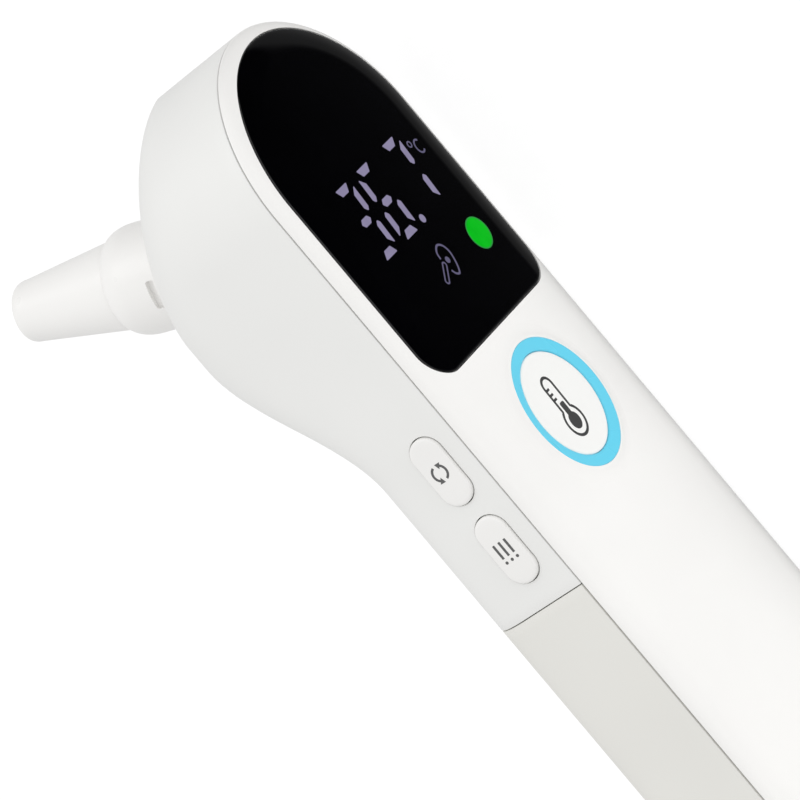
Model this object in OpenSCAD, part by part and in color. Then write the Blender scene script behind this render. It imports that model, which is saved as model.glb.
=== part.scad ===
// Digital ear thermometer, lying on its flat right side. Millimetres.
// +X runs from the tail to the round head, +Y from the display face to the ear probe,
// and +Z from the plain side, which it lies on, to the side with the two small buttons.
// The modules below are drawn about the measure button: x = 0 and z = 0 at its centre,
// y = 0 on the display face. placed() then moves everything to the part's own origin.

/* [Body] */
// Width across the display face
body_w = 36; // [35:0.5:37]
// Measure button centre to the tail end
tail_reach = 86.7; // [84:0.5:90]
// Measure button centre to the centre of the round head
head_x = 37.3; // [36.5:0.1:38]
// Depth of the handle, face to back
handle_depth = 18.2; // [18:0.1:19]
// Depth of the head at its fullest
head_depth = 28.7; // [28:0.1:29.5]
// Depth where the back meets the head's end wall
head_end_depth = 15.4; // [15:0.1:16]
// Depth of the seam between the front and rear shells
seam_y = 2.05; // [1.9:0.05:2.2]
// Width of the rounded shoulder round the face
shoulder_w = 4.6; // [4.2:0.1:5]
// Corner radius of the tail, seen from the front
tail_r = 12; // [10:0.5:14]
// Shell wall thickness
wall = 1.6; // [1.5:0.1:1.8]

/* [Display] */
// Half width of the lens
lens_half_w = 16.3; // [16:0.1:16.4]
// Straight lower edge of the lens, from the measure button centre
lens_bottom_x = 11.5; // [11.3:0.1:12]
// Radius of the lens's two lower corners
lens_corner_r = 4.3; // [3.5:0.1:5]
// Lens thickness
lens_t = 1.0; // [0.9:0.05:1.1]

/* [Buttons] */
// Outer radius of the blue ring
ring_r = 8.4; // [8.2:0.1:8.6]
// Radius of the measure button's disc
measure_r = 6.6; // [6.5:0.05:6.65]
// How far the ring's outer edge stands proud of the face
ring_proud = 0.35; // [0.2:0.05:0.5]
// Length of a side button
side_button_l = 9.0; // [8.5:0.1:9.2]
// Width of a side button
side_button_w = 4.2; // [4:0.1:4.4]
// How far a side button stands proud of the side wall
side_button_proud = 0.5; // [0.4:0.05:0.6]
// Depth of the side buttons' centres below the face
side_button_y = 6.65; // [6.5:0.05:6.8]
// Mode button centre along the body
mode_x = 4.0; // [3.8:0.1:4.2]
// Memory button centre along the body
memory_x = -7.3; // [-7.5:0.1:-7.1]

/* [Probe] */
// Tilt of the probe axis towards the head
probe_tilt = 18.9; // [18.5:0.1:19.5]
// Radius of the bulged collar
collar_r = 6.55; // [6.4:0.05:6.7]
// Radius of the nozzle where it leaves the collar
nozzle_base_r = 5.35; // [5.2:0.05:5.4]
// Radius of the nozzle just behind its rounded tip
nozzle_tip_r = 3.7; // [3.6:0.05:3.8]
// Probe origin to the end of the nozzle
nozzle_end = 24.9; // [24.5:0.1:25.5]

/* [Battery cover] */
// Battery cover seam, from the measure button centre
cover_x = -15.3; // [-15.6:0.1:-15]
// Lean of the seam towards the head, from front to back
cover_lean = 2.5; // [0:0.5:3]

/* [Hidden] */
$fn = 48;

half_w = body_w / 2;
tail_x = -tail_reach;
tail_c = tail_x + tail_r;
head_end = head_x + half_w;

// The back swells from the handle to the head between these two places, and then falls to the end wall.
swell_start = 5.4;
swell_end = 28.5;
drop_start = 32;
drop_power = 1.5;
// Depth at which the side wall starts to round into the back, on the handle and on the head.
handle_wall_y = 10;
head_wall_y = 12.5;
// Squareness of the rounded back, on the handle and on the head: 2 would be an ellipse.
handle_square = 3;
head_square = 2.5;

// Running gap at each side of a moving button, and the gap at the cover's seam.
button_gap = 0.15;
seam_gap = 0.12;

// Probe origin: a point on the probe's axis, inside the head.
probe_x = 37.5;
probe_y = 24.6;
collar_front = 10.9;
collar_seat = 2.4;
tip_round = 1.3;
tip_face_r = 3.05;
probe_tip_y = probe_y + nozzle_end * cos(probe_tilt) + tip_face_r * sin(probe_tilt);

// Main board: front face and thickness.
board_y = 6.2;
board_t = 1.2;
board_back = board_y + board_t;
board_half_w = 14;

// Two AAA cells side by side.
cell_r = 5.25;
cell_l = 43.7;
nub_r = 1.9;
nub_l = 0.8;
cell_z = 5.6;
cell_y = 10.7;
bay_tail = -76;
bay_head = -25;
contact_t = 0.4;

function smooth(t) = let (u = min(1, max(0, t))) u * u * (3 - 2 * u);
function mix(a, b, t) = a + (b - a) * t;
function swell(x) = smooth((x - swell_start) / (swell_end - swell_start));
function fall(x) = pow(max(0, (x - drop_start) / (head_end - drop_start)), drop_power);
function back_depth(x) = mix(handle_depth, head_depth, swell(x)) - (head_depth - head_end_depth) * fall(x);
function wall_depth(x) = mix(handle_wall_y, head_wall_y, swell(x));
function squareness(x) = mix(handle_square, head_square, swell(x));

// Distance from a point of the face to the body's outline, seen from the front.
function edge_gap(x, z) =
    x > head_x ? half_w - norm([x - head_x, z])
    : x > tail_c ? half_w - abs(z)
    : abs(z) > half_w - tail_r ? tail_r - norm([tail_c - x, abs(z) - half_w + tail_r])
    : x - tail_x;
// Depth of the face at a point: flat in the middle and rounded at the shoulder.
function face_depth(x, z, inset) =
    let (t = min(1, max(0, 1 - (edge_gap(x, z) - inset) / shoulder_w)))
    inset + seam_y * (1 - sqrt(1 - t * t));

// Stations along the body: [place, half width, share of the back's rounding kept at the tail].
tail_angles = [90, 72, 54, 36, 18];
head_angles = [4, 16, 29, 42, 54, 66, 76, 84, 90];
straight_stations = [-15, 3, 8, 12, 16, 20, 24, 29, 33, 36.4];
function stations(inset) = concat(
    [for (a = tail_angles) [
        tail_c - (tail_r - inset) * sin(a),
        half_w - tail_r + (tail_r - inset) * cos(a),
        max(0.12, pow(1 - pow(sin(a), 3), 1 / 3))
    ]],
    [for (x = concat([tail_c], straight_stations)) [x, half_w - inset, 1]],
    [for (a = head_angles) [
        head_x + (half_w - inset) * sin(a),
        (half_w - inset) * max(0.05, cos(a)),
        1
    ]]
);

// One closed outline across the body: the face from left to right, and then round the back.
face_shares = [1, 0.985, 0.94, 0.88, 0.81, 0.745, 0.4, 0];
back_steps = 14;
function ring_points(s, inset, plain_face) =
    let (
        x = s[0],
        w = s[1],
        wall_y = wall_depth(x),
        rise = (back_depth(x) - inset - wall_y) * s[2],
        power = 2 / squareness(x),
        shares = concat(face_shares, [for (i = [6:-1:0]) -face_shares[i]])
    )
    concat(
        [for (k = shares) [x, plain_face ? seam_y - 1 : face_depth(x, k * w, inset), k * w]],
        [for (i = [0:back_steps]) let (a = 180 - 180 * i / back_steps) [
            x,
            wall_y + rise * pow(sin(a), power),
            w * sign(cos(a)) * pow(abs(cos(a)), power)
        ]]
    );

// The whole body as one solid, with every face moved inwards by inset. With plain_face its
// face is flat, just in front of the seam, and its side walls stay straight up to it.
module body_form(inset, plain_face = false) {
    rings = [for (s = stations(inset)) ring_points(s, inset, plain_face)];
    n = len(rings[0]);
    m = len(rings);
    polyhedron(
        points = [for (r = rings) each r],
        faces = concat(
            [[for (i = [0:n - 1]) i]],
            [for (j = [0:m - 2], i = [0:n - 1]) let (k = (i + 1) % n) [j * n + i, (j + 1) * n + i, (j + 1) * n + k]],
            [for (j = [0:m - 2], i = [0:n - 1]) let (k = (i + 1) % n) [j * n + i, (j + 1) * n + k, j * n + k]],
            [[for (i = [n - 1:-1:0]) (m - 1) * n + i]]
        ),
        convexity = 6
    );
}

// The body's outline seen from the front, moved inwards by inset and swept along +Y.
module plan_form(inset, y0, y1) {
    r = tail_r - inset;
    w = half_w - inset;
    translate([0, y1, 0]) rotate([90, 0, 0]) linear_extrude(y1 - y0) union() {
        translate([head_x, 0]) circle(r = w, $fn = 64);
        translate([tail_c, -w]) square([head_x - tail_c, 2 * w]);
        translate([tail_x + inset, -w + r]) square([r + 1, 2 * (w - r)]);
        for (s = [-1, 1]) translate([tail_c, s * (w - r)]) circle(r = r);
    }
}

// Moves a sub-part from the measure button's centre to the origin under the middle of the whole part.
module placed() {
    translate([-(head_end + tail_x) / 2, -(probe_tip_y - ring_proud) / 2, half_w]) children();
}

// Everything between two depths, between two places along the body.
module slab(y0, y1, x0 = tail_x - 10, x1 = head_end + 10) {
    translate([x0, y0, -half_w - 10]) cube([x1 - x0, y1 - y0, body_w + 20]);
}

// Everything behind the cover seam, moved towards the tail by shift.
module behind_seam(shift) {
    translate([cover_x - shift, seam_y, 0]) rotate([0, 0, -cover_lean])
        translate([-120, -30, -40]) cube([120, 80, 80]);
}

// A round bar along +Y, from depth y0 to y1.
module bar_y(r, y0, y1) {
    translate([0, y0, 0]) rotate([-90, 0, 0]) cylinder(r = r, h = y1 - y0);
}

// A rounded slot outline swept along +Z, centred on the axis.
module stadium_z(l, w, z0, z1) {
    translate([0, 0, z0]) hull() {
        for (s = [-1, 1]) translate([s * (l - w) / 2, 0, 0]) cylinder(d = w, h = z1 - z0, $fn = 32);
    }
}

// The same outline made of exact pieces, for the buttons that slide.
module exact_stadium_z(l, w, z0, z1) {
    translate([0, 0, z0]) union() {
        for (s = [-1, 1]) translate([s * (l - w) / 2, 0, 0]) cylinder(d = w, h = z1 - z0);
        translate([-(l - w) / 2, -w / 2, 0]) cube([l - w, w, z1 - z0]);
    }
}

// The lens outline swept along +Y, grown by grow.
module lens_form(grow, y0, y1) {
    r = lens_half_w + grow;
    c = lens_corner_r + grow;
    translate([0, y1, 0]) rotate([90, 0, 0]) linear_extrude(y1 - y0) union() {
        translate([head_x, 0]) circle(r = r);
        translate([lens_bottom_x + lens_corner_r, -r]) square([head_x - lens_bottom_x - lens_corner_r, 2 * r]);
        translate([lens_bottom_x - grow, -r + c]) square([lens_corner_r + grow + 1, 2 * (r - c)]);
        for (s = [-1, 1]) translate([lens_bottom_x + lens_corner_r, s * (r - c)]) circle(r = c);
    }
}

// Puts a sub-part on the probe's axis, which becomes its +Z.
module on_probe() {
    translate([probe_x, probe_y, 0]) rotate([0, 0, -probe_tilt]) rotate([-90, 0, 0]) children();
}

// A pan-head screw with a cross slot, head at the origin, shank along -Z.
module screw(head_r, shank_r, length) {
    head_h = head_r * 0.7;
    difference() {
        union() {
            cylinder(r = head_r, h = head_h);
            translate([0, 0, -length]) cylinder(r = shank_r, h = length + 0.1);
            translate([0, 0, -length - shank_r]) cylinder(r1 = 0.1, r2 = shank_r, h = shank_r);
        }
        for (a = [0, 90]) rotate([0, 0, a])
            translate([-head_r * 0.6, -head_r * 0.12, head_h * 0.45]) cube([head_r * 1.2, head_r * 0.24, head_h]);
    }
}

// A bent round wire through a list of points.
module wire(points, r) {
    union() {
        for (i = [0:len(points) - 2]) hull() {
            translate(points[i]) sphere(r = r, $fn = 8);
            translate(points[i + 1]) sphere(r = r, $fn = 8);
        }
    }
}

// Where the screws stand: [place along the body, place across it].
board_screw_spots = [[-9.5, -11.5], [13.4, 11.4], [47.4, 0]];
tray_screw_spots = [[-79.3, -8], [-79.3, 8], [-21.9, -6], [-21.9, 6]];
housing_screw_spots = [[-20.4, -12.3], [-20.4, 12.3]];
tray_floor_y = 4.0;
tray_rim_y = 13;
ear_y = 6.6;
vent_x = 1.5;

// Shells

module front_shell() {
    lip_out = wall + 0.25;
    lip_in = wall + 1.15;
    lip_end = 3.4;
    boss_r = 2.2;
    color("white") placed() union() {
        difference() {
            union() {
                difference() {
                    intersection() {
                        body_form(0);
                        slab(-1, seam_y - 0.03);
                    }
                    body_form(wall);
                }
                // Ledge that carries the lens.
                intersection() {
                    lens_form(0.6, lens_t + 0.1, seam_y);
                    body_form(0.3);
                }
            }
            // Pocket for the lens, window for the display, and hole for the blue ring.
            lens_form(0.12, -1, lens_t + 0.1);
            translate([16, -1, -12.9]) cube([26, 6, 25.8]);
            bar_y(ring_r + 0.05, -1, 4);
        }
        // Locating lip inside the rear shell and the battery cover.
        difference() {
            plan_form(lip_out, seam_y - 0.3, lip_end);
            plan_form(lip_in, 0, 10);
        }
        // Bosses for the main board, the battery tray and the rear shell.
        for (p = board_screw_spots) translate([p[0], 0, p[1]]) difference() {
            bar_y(boss_r, wall - 0.2, board_y - 0.02);
            bar_y(0.85, 2, 10);
        }
        for (p = tray_screw_spots) translate([p[0], 0, p[1]]) difference() {
            bar_y(1.8, wall - 0.2, tray_floor_y - 0.02);
            bar_y(0.85, 1.8, 10);
        }
        for (p = housing_screw_spots) translate([p[0], 0, p[1]]) difference() {
            bar_y(boss_r, wall - 0.2, ear_y - 0.02);
            bar_y(0.85, 2, 10);
        }
        // Ribs across the face.
        for (x = [-30, -42, -54, -66]) hull() {
            for (s = [-1, 1]) translate([x, wall - 0.2, s * 11]) cube([0.8, 1.4, 0.8], center = true);
        }
        for (s = [-1, 1], x = [-9, 9]) hull() {
            translate([x, wall - 0.2, s * 9.2]) cube([0.8, 1.6, 0.8], center = true);
            translate([x, wall - 0.2, s * 11.2]) cube([0.8, 1.6, 0.8], center = true);
        }
    }
}

module rear_shell() {
    color("whitesmoke") placed() union() {
        difference() {
            intersection() {
                body_form(0);
                slab(seam_y + 0.02, 40);
            }
            body_form(wall, true);
            behind_seam(0);
            // Openings for the two side buttons.
            for (x = [mode_x, memory_x]) translate([x, side_button_y, 0])
                stadium_z(side_button_l + 2 * button_gap, side_button_w + 2 * button_gap, 12, 25);
            // Opening for the probe collar, with a shallow seat round it.
            on_probe() cylinder(r = collar_r + 0.12, h = 30, center = true, $fn = 64);
            // Buzzer vents.
            for (x = [-2.2, 0, 2.2]) translate([vent_x + x, 0, 0]) hull() {
                for (s = [-1, 1]) translate([0, 0, s * 2.5]) bar_y(0.45, 12, 25, $fn = 16);
            }
        }
        // Shelf that the battery cover slides over.
        intersection() {
            difference() {
                body_form(wall + 0.15);
                body_form(wall + 1.35);
            }
            slab(3.6, 40, cover_x - 2.9, cover_x + 2.4);
        }
        intersection() {
            difference() {
                body_form(wall - 0.2);
                body_form(wall + 1.35);
            }
            slab(3.6, 40, cover_x + 1.2, cover_x + 2.4);
        }
        // Bulkhead between the board and the batteries, with a way through for the leads.
        difference() {
            intersection() {
                body_form(wall + 1.2);
                slab(3.6, 40, cover_x - 2.7, cover_x - 1.5);
            }
            translate([cover_x - 5, 3, -9]) cube([8, 4, 18]);
        }
        // Ears for the housing screws.
        for (p = housing_screw_spots) difference() {
            hull() {
                translate([p[0], 0, p[1]]) bar_y(2, ear_y, ear_y + 1.8, $fn = 32);
                translate([cover_x - 2.4, ear_y, p[1] - 2]) cube([0.8, 1.8, 4]);
            }
            translate([p[0], 0, p[1]]) bar_y(1, 0, 20);
        }
        // Ribs that stiffen the bulkhead.
        for (z = [-8, 0, 8]) hull() {
            translate([cover_x - 1.8, 9, z]) cube([0.4, 6, 0.8]);
            translate([cover_x + 2, 14.6, z]) cube([0.4, 0.4, 0.8]);
        }
    }
}

module battery_cover() {
    color("gainsboro") placed() union() {
        difference() {
            intersection() {
                body_form(0);
                slab(seam_y + seam_gap, 40);
                behind_seam(seam_gap);
            }
            body_form(wall, true);
            // Grip grooves across the back, near the seam.
            for (i = [0:4]) translate([cover_x - 7 - 2.4 * i, handle_depth + 0.15, 0]) hull() {
                for (s = [-1, 1]) translate([0, 0, s * (6 - 0.7 * i)]) sphere(r = 0.6, $fn = 12);
            }
        }
        // Ribs inside the back that press on the cells.
        for (x = [-34, -52, -66], s = [-1, 1]) hull() {
            for (d = [-2.5, 2.5]) translate([x, handle_depth - wall + 0.05, s * cell_z + d])
                cube([1, 0.9, 0.5], center = true);
        }
    }
}

// Display

module display_lens() {
    // The lens follows the rounded shoulder, so its edge is lower than its middle.
    flat_half = half_w - shoulder_w;
    edge = [for (i = [0:8]) let (z = mix(flat_half, lens_half_w + 1, i / 8)) [z, face_depth(0, z, 0)]];
    right_side = concat([[0, 0]], edge, [[lens_half_w + 1, lens_t], [0, lens_t]]);
    color("black") placed() intersection() {
        lens_form(0, 0, lens_t);
        union() {
            translate([lens_bottom_x - 1, 0, 0]) rotate([90, 0, 90])
                linear_extrude(head_x - lens_bottom_x + 1) union() {
                    polygon([for (p = right_side) [p[1], p[0]]]);
                    polygon([for (p = right_side) [p[1], -p[0]]]);
                }
            translate([head_x, 0, 0]) rotate([-90, 0, 0]) rotate_extrude($fn = 96) polygon(right_side);
        }
    }
}

module lens_tape() {
    color("dimgray") placed() difference() {
        lens_form(-0.3, lens_t + 0.01, lens_t + 0.09);
        translate([15.6, 0, -13.3]) cube([26.8, 5, 26.6]);
    }
}

module display_module() {
    front = lens_t + 0.25;
    color([0.08, 0.08, 0.09]) placed() difference() {
        union() {
            translate([24.2, front, -12.6]) cube([17, board_y - front - 0.02, 25.2]);
            translate([17.2, front, -6.4]) cube([7.1, board_y - front - 0.02, 19]);
        }
        // Light wells behind the digits and the ear symbol.
        for (z = [7.3, 1.2, -6.5]) translate([25.4, front - 1, z - 2.5]) cube([9.8, 1.8, 5]);
        translate([18.4, front - 1, -3]) cube([4.8, 1.8, 6.4]);
    }
}

module status_light() {
    color("limegreen") placed() translate([20.3, 0, -9.5]) union() {
        bar_y(1.9, lens_t + 0.25, board_y - 0.6);
        translate([-1.4, board_y - 0.7, -1.4]) cube([2.8, 0.68, 2.8]);
    }
}

// Measure button

module button_light_ring() {
    color("skyblue") placed() rotate([-90, 0, 0]) rotate_extrude($fn = 96) polygon([
        [measure_r + button_gap, 0.05],
        [ring_r - 0.35, -ring_proud],
        [ring_r - 0.1, -ring_proud + 0.08],
        [ring_r, -ring_proud + 0.28],
        [ring_r, wall + 0.05],
        [ring_r + 0.9, wall + 0.05],
        [ring_r + 0.9, wall + 0.75],
        [ring_r - 0.6, wall + 0.75],
        [ring_r - 0.6, 4.6],
        [measure_r + 0.4, 4.6],
        [measure_r + 0.4, 2.4],
        [measure_r + button_gap, 2.2]
    ]);
}

module ring_leds() {
    color("lightyellow") placed() for (i = [0:5]) rotate([0, 60 * i + 30, 0])
        translate([7.5 - 0.4, board_y - 0.62, -0.8]) cube([0.8, 0.6, 1.6]);
}

module measure_button() {
    color("white") placed() rotate([-90, 0, 0]) union() {
        rotate_extrude($fn = 96) polygon([
            [0, 0.12],
            [measure_r - 0.6, 0.05],
            [measure_r - 0.15, 0.12],
            [measure_r, 0.3],
            [measure_r, 3.6],
            [measure_r - 0.9, 3.6],
            [measure_r - 0.9, 1.3],
            [0, 1.3]
        ]);
        cylinder(r = 1.4, h = 4.25);
    }
}

module switch_y(y0) {
    difference() {
        translate([-2.6, y0, -2.6]) cube([5.2, board_y - y0 - 0.02, 5.2]);
        bar_y(1.6, y0 - 1, board_y - 0.2);
    }
}

module measure_switch() {
    color([0.15, 0.15, 0.16]) placed() switch_y(4.85);
}

module measure_switch_stem() {
    color("saddlebrown") placed() bar_y(1.5, 4.27, 5.3);
}

// Side buttons

module side_button(x) {
    top = half_w + side_button_proud;
    flange_top = half_w - wall - 0.25;
    translate([x, side_button_y, 0]) union() {
        exact_stadium_z(side_button_l - 0.5, side_button_w - 0.5, top - 0.3, top);
        exact_stadium_z(side_button_l, side_button_w, flange_top - 0.1, top - 0.25);
        exact_stadium_z(side_button_l + 1, side_button_w + 1, flange_top - 0.7, flange_top);
        translate([0, 0, 14.1]) cylinder(r = 1.1, h = 2);
    }
}

module side_switch(x) {
    translate([x, side_button_y, 0]) difference() {
        translate([-1.75, -1.75, 12.02]) cube([3.5, 3.5, 1.2]);
        translate([0, 0, 12.2]) cylinder(r = 0.9, h = 5);
    }
}

module side_stem(x) {
    translate([x, side_button_y, 12.75]) cylinder(r = 0.8, h = 1.33);
}

module mode_button() {
    color("whitesmoke") placed() side_button(mode_x);
}

module memory_button() {
    color("whitesmoke") placed() side_button(memory_x);
}

module mode_switch() {
    color([0.15, 0.15, 0.16]) placed() side_switch(mode_x);
}

module memory_switch() {
    color([0.15, 0.15, 0.16]) placed() side_switch(memory_x);
}

module mode_switch_stem() {
    color("saddlebrown") placed() side_stem(mode_x);
}

module memory_switch_stem() {
    color("saddlebrown") placed() side_stem(memory_x);
}

module side_switch_board() {
    color("darkgreen") placed() translate([-11.2, 3.9, 11]) cube([18.6, 6.6, 1]);
}

// Electronics

module main_board() {
    color("darkgreen") placed() difference() {
        translate([0, board_back, 0]) rotate([90, 0, 0]) linear_extrude(board_t) union() {
            translate([-13.5, -board_half_w]) square([head_x + 13.5, 2 * board_half_w]);
            translate([head_x, 0]) circle(r = board_half_w);
        }
        // Cut-out for the side switch board, and clearance for the housing bosses.
        translate([-20, board_y - 1, 10.6]) cube([29, 4, 10]);
        for (p = board_screw_spots) translate([p[0], 0, p[1]]) bar_y(1.1, 0, 20);
    }
}

module microcontroller() {
    color([0.1, 0.1, 0.1]) placed() translate([17, board_back + 0.02, -4]) union() {
        cube([8, 1.2, 8]);
        // Legs along two sides.
        for (s = [0, 1], i = [0:7]) translate([0.5 + i * 0.93, 0, s * 8.8 - 0.8]) cube([0.4, 0.3, 0.9]);
    }
}

module small_chips() {
    color([0.1, 0.1, 0.1]) placed() {
        translate([8, board_back + 0.02, -11]) cube([5, 1.3, 4]);
        translate([30, board_back + 0.02, -11]) cube([4, 1.2, 4]);
        translate([10.4, board_back + 0.02, 4]) cube([3, 1.1, 1.6]);
    }
}

module board_passives() {
    color("tan") placed() {
        for (i = [0:5]) translate([15 + 2.2 * i, board_back + 0.02, 7]) cube([1, 0.6, 1.8]);
        for (i = [0:3]) translate([16 + 2.2 * i, board_back + 0.02, -9.5]) cube([1, 0.6, 1.8]);
        for (i = [0:2]) translate([-10 + 2.4 * i, board_back + 0.02, 7.4]) cube([1.2, 0.8, 2]);
    }
}

module crystal() {
    color("silver") placed() translate([28, board_back + 0.02, 1]) union() {
        cube([2, 1.2, 5]);
        translate([0.1, 0, 0.1]) cube([1.8, 1.4, 4.8]);
    }
}

module buzzer() {
    color([0.12, 0.12, 0.12]) placed() translate([0.5, 0, 0]) difference() {
        bar_y(4.8, board_back + 0.02, board_back + 4);
        bar_y(0.9, board_back + 2.6, board_back + 6);
    }
}

// Probe and sensor

module probe_collar() {
    bore_r = 4.6;
    color("white") placed() on_probe() difference() {
        union() {
            rotate_extrude($fn = 96) polygon([
                [bore_r, -4.2],
                [8.2, -4.2],
                [8.2, -2.8],
                [collar_r - 0.5, -2.8],
                [collar_r - 0.5, collar_seat],
                [collar_r, collar_seat],
                [collar_r, 8],
                [collar_r - 0.14, 8.9],
                [collar_r - 0.5, 9.8],
                [collar_r - 1.05, 10.55],
                [nozzle_base_r - 0.12, collar_front],
                [bore_r, collar_front]
            ]);
        }
        // Latch slot for a clip-on cap.
        rotate([0, 0, -94]) translate([collar_r - 0.7, -1.8, 3.6]) cube([3, 3.6, 1.05]);
    }
}

module probe_nozzle() {
    tube_r = 4.5;
    waist = collar_front + 0.05;
    shoulder = nozzle_end - tip_round;
    color("white") placed() on_probe() rotate_extrude($fn = 96) polygon(concat(
        [
            [3.95, -4],
            [tube_r, -4],
            [tube_r, 5.3],
            [4.0, 5.3],
            [4.0, 6.7],
            [tube_r, 6.7],
            [tube_r, waist],
            [nozzle_base_r - 0.1, waist],
            [nozzle_base_r, waist + 0.15],
            [nozzle_tip_r, shoulder]
        ],
        [for (a = [20:20:80]) [
            nozzle_tip_r - tip_round * 0.45 * (1 - cos(a)),
            shoulder + tip_round * sin(a)
        ]],
        [
            [tip_face_r, nozzle_end],
            [2.65, nozzle_end - 0.05],
            [2.65, nozzle_end - 0.9],
            [2.9, nozzle_end - 0.9],
            [2.9, 4.6],
            [3.95, 4.6]
        ]
    ));
}

module probe_window() {
    color("dimgray") placed() on_probe() translate([0, 0, nozzle_end - 0.85]) cylinder(r = 2.6, h = 0.5);
}

module waveguide() {
    color("gold") placed() on_probe() difference() {
        translate([0, 0, 4.4]) cylinder(r = 2.85, h = nozzle_end - 5.35);
        cylinder(r = 2.35, h = 30);
    }
}

module sensor_can() {
    color("silver") placed() on_probe() difference() {
        union() {
            translate([0, 0, 0.6]) cylinder(r = 3.1, h = 0.5);
            translate([0, 0, 1]) cylinder(r = 2.7, h = 2.9);
        }
        translate([0, 0, 3.5]) cylinder(r = 1.2, h = 2);
    }
}

module sensor_pins() {
    color("gold") placed() on_probe() for (a = [45:90:315]) rotate([0, 0, a])
        translate([1.3, 0, -4.96]) cylinder(r = 0.22, h = 5.54);
}

module sensor_holder() {
    color("silver") placed() on_probe() difference() {
        translate([0, 0, -3.6]) cylinder(r = 3.85, h = 7.9);
        translate([0, 0, 0.55]) cylinder(r = 3.15, h = 10);
        translate([0, 0, -5]) cylinder(r = 1.9, h = 10);
    }
}

module sensor_o_ring() {
    color([0.1, 0.1, 0.1]) placed() on_probe() translate([0, 0, 6])
        rotate_extrude() translate([4.29, 0]) circle(r = 0.27, $fn = 24);
}

module sensor_board() {
    color("darkgreen") placed() on_probe() difference() {
        translate([0, 0, -6]) cylinder(r = 6, h = 1);
        for (a = [45:90:315]) rotate([0, 0, a]) translate([1.3, 0, -7]) cylinder(r = 0.3, h = 3);
    }
}

// Outline of a bent strip: the route, and the route moved sideways by t.
function strip_outline(route, t) =
    let (n = len(route))
    concat(route, [for (i = [n - 1:-1:0]) let (
        d = route[min(i + 1, n - 1)] - route[max(i - 1, 0)],
        side = [-d[1], d[0]] / norm(d)
    ) route[i] + t * side]);

module sensor_flex() {
    // The ribbon leaves the sensor board's edge and folds down onto the main board.
    route = [
        [29.8, 22.2],
        [28.6, 21.4],
        [28.0, 19.8],
        [28.6, 16.4],
        [29.6, 13.2],
        [29.4, 11.0],
        [28.2, 9.4],
        [26.2, 8.9]
    ];
    color("orange") placed() translate([0, 0, -9]) linear_extrude(5) polygon(strip_outline(route, 0.25));
}

// Batteries

module battery_tray() {
    t = 1.2;
    side_z = 11.2;
    color([0.9, 0.9, 0.88]) placed() difference() {
        union() {
            translate([bay_tail - t, tray_floor_y, -side_z - t])
                cube([bay_head - bay_tail + 2 * t, tray_rim_y - tray_floor_y, 2 * (side_z + t)]);
            // Ears for the tray screws.
            for (p = tray_screw_spots) {
                translate([p[0], 0, p[1]]) bar_y(2, tray_floor_y, tray_floor_y + t);
                translate([p[0] < bay_tail ? p[0] : bay_head, tray_floor_y, p[1] - 2])
                    cube([abs(p[0] - (p[0] < bay_tail ? bay_tail : bay_head)), t, 4]);
            }
        }
        translate([bay_tail, tray_floor_y + t, -side_z]) cube([bay_head - bay_tail, 20, 2 * side_z]);
        for (p = tray_screw_spots) translate([p[0], 0, p[1]]) bar_y(1, 0, 20);
        // Notch in the floor for lifting out a cell.
        translate([-56, 0, -3]) cube([12, 20, 6]);
    }
}

module cell(nub_dir) {
    color("steelblue") translate([0, cell_y, 0]) rotate([0, 90 * nub_dir, 0]) union() {
        translate([0, 0, -cell_l / 2]) cylinder(r = cell_r, h = cell_l - 0.6);
        translate([0, 0, cell_l / 2 - 0.7]) cylinder(r = cell_r - 0.5, h = 0.7);
        translate([0, 0, cell_l / 2 - 0.1]) cylinder(r = nub_r, h = nub_l + 0.1);
    }
}

// A cell with its nub against the contact at the head end of the bay, or at the tail end.
cell_middle_head = bay_head - contact_t - 0.1 - nub_l - cell_l / 2;
cell_middle_tail = bay_tail + contact_t + 0.1 + nub_l + cell_l / 2;

module battery_1() {
    placed() translate([cell_middle_head, 0, cell_z]) cell(1);
}

module battery_2() {
    placed() translate([cell_middle_tail, 0, -cell_z]) cell(-1);
}

// A coil spring between two places along the body, wound about the cell's axis.
module cell_spring(x0, x1, z) {
    turns = 4;
    steps = 10;
    wire_r = 0.32;
    color("silver") placed() translate([0, cell_y, z]) wire([
        for (i = [0:turns * steps]) let (a = 360 * i / steps, r = mix(3.4, 2.2, i / turns / steps))
            [mix(x0, x1, i / turns / steps), r * cos(a), r * sin(a)]
    ], wire_r);
}

module tail_spring() {
    cell_spring(bay_tail + contact_t + 0.34, cell_middle_head - cell_l / 2 - 0.36, cell_z);
}

module head_spring() {
    cell_spring(bay_head - contact_t - 0.34, cell_middle_tail + cell_l / 2 + 0.36, -cell_z);
}

// A contact plate at the head end of the bay, with a solder tab bent over the tray's wall.
module head_contact(z) {
    color("silver") placed() translate([bay_head - contact_t - 0.02, 0, z]) union() {
        translate([0, cell_y - 4, -3.5]) cube([contact_t, 6, 7]);
        translate([0, cell_y - 4, -1.5]) cube([contact_t, tray_rim_y + 4.5 - cell_y, 3]);
        translate([0, tray_rim_y + 0.1, -1.5]) cube([2.6, contact_t, 3]);
    }
}

module positive_contact() {
    head_contact(cell_z);
}

module negative_contact() {
    head_contact(-cell_z);
}

module bridge_contact() {
    color("silver") placed() translate([bay_tail + 0.02, cell_y - 4, -cell_z - 3.5])
        cube([contact_t, 8, 2 * cell_z + 7]);
}

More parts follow.
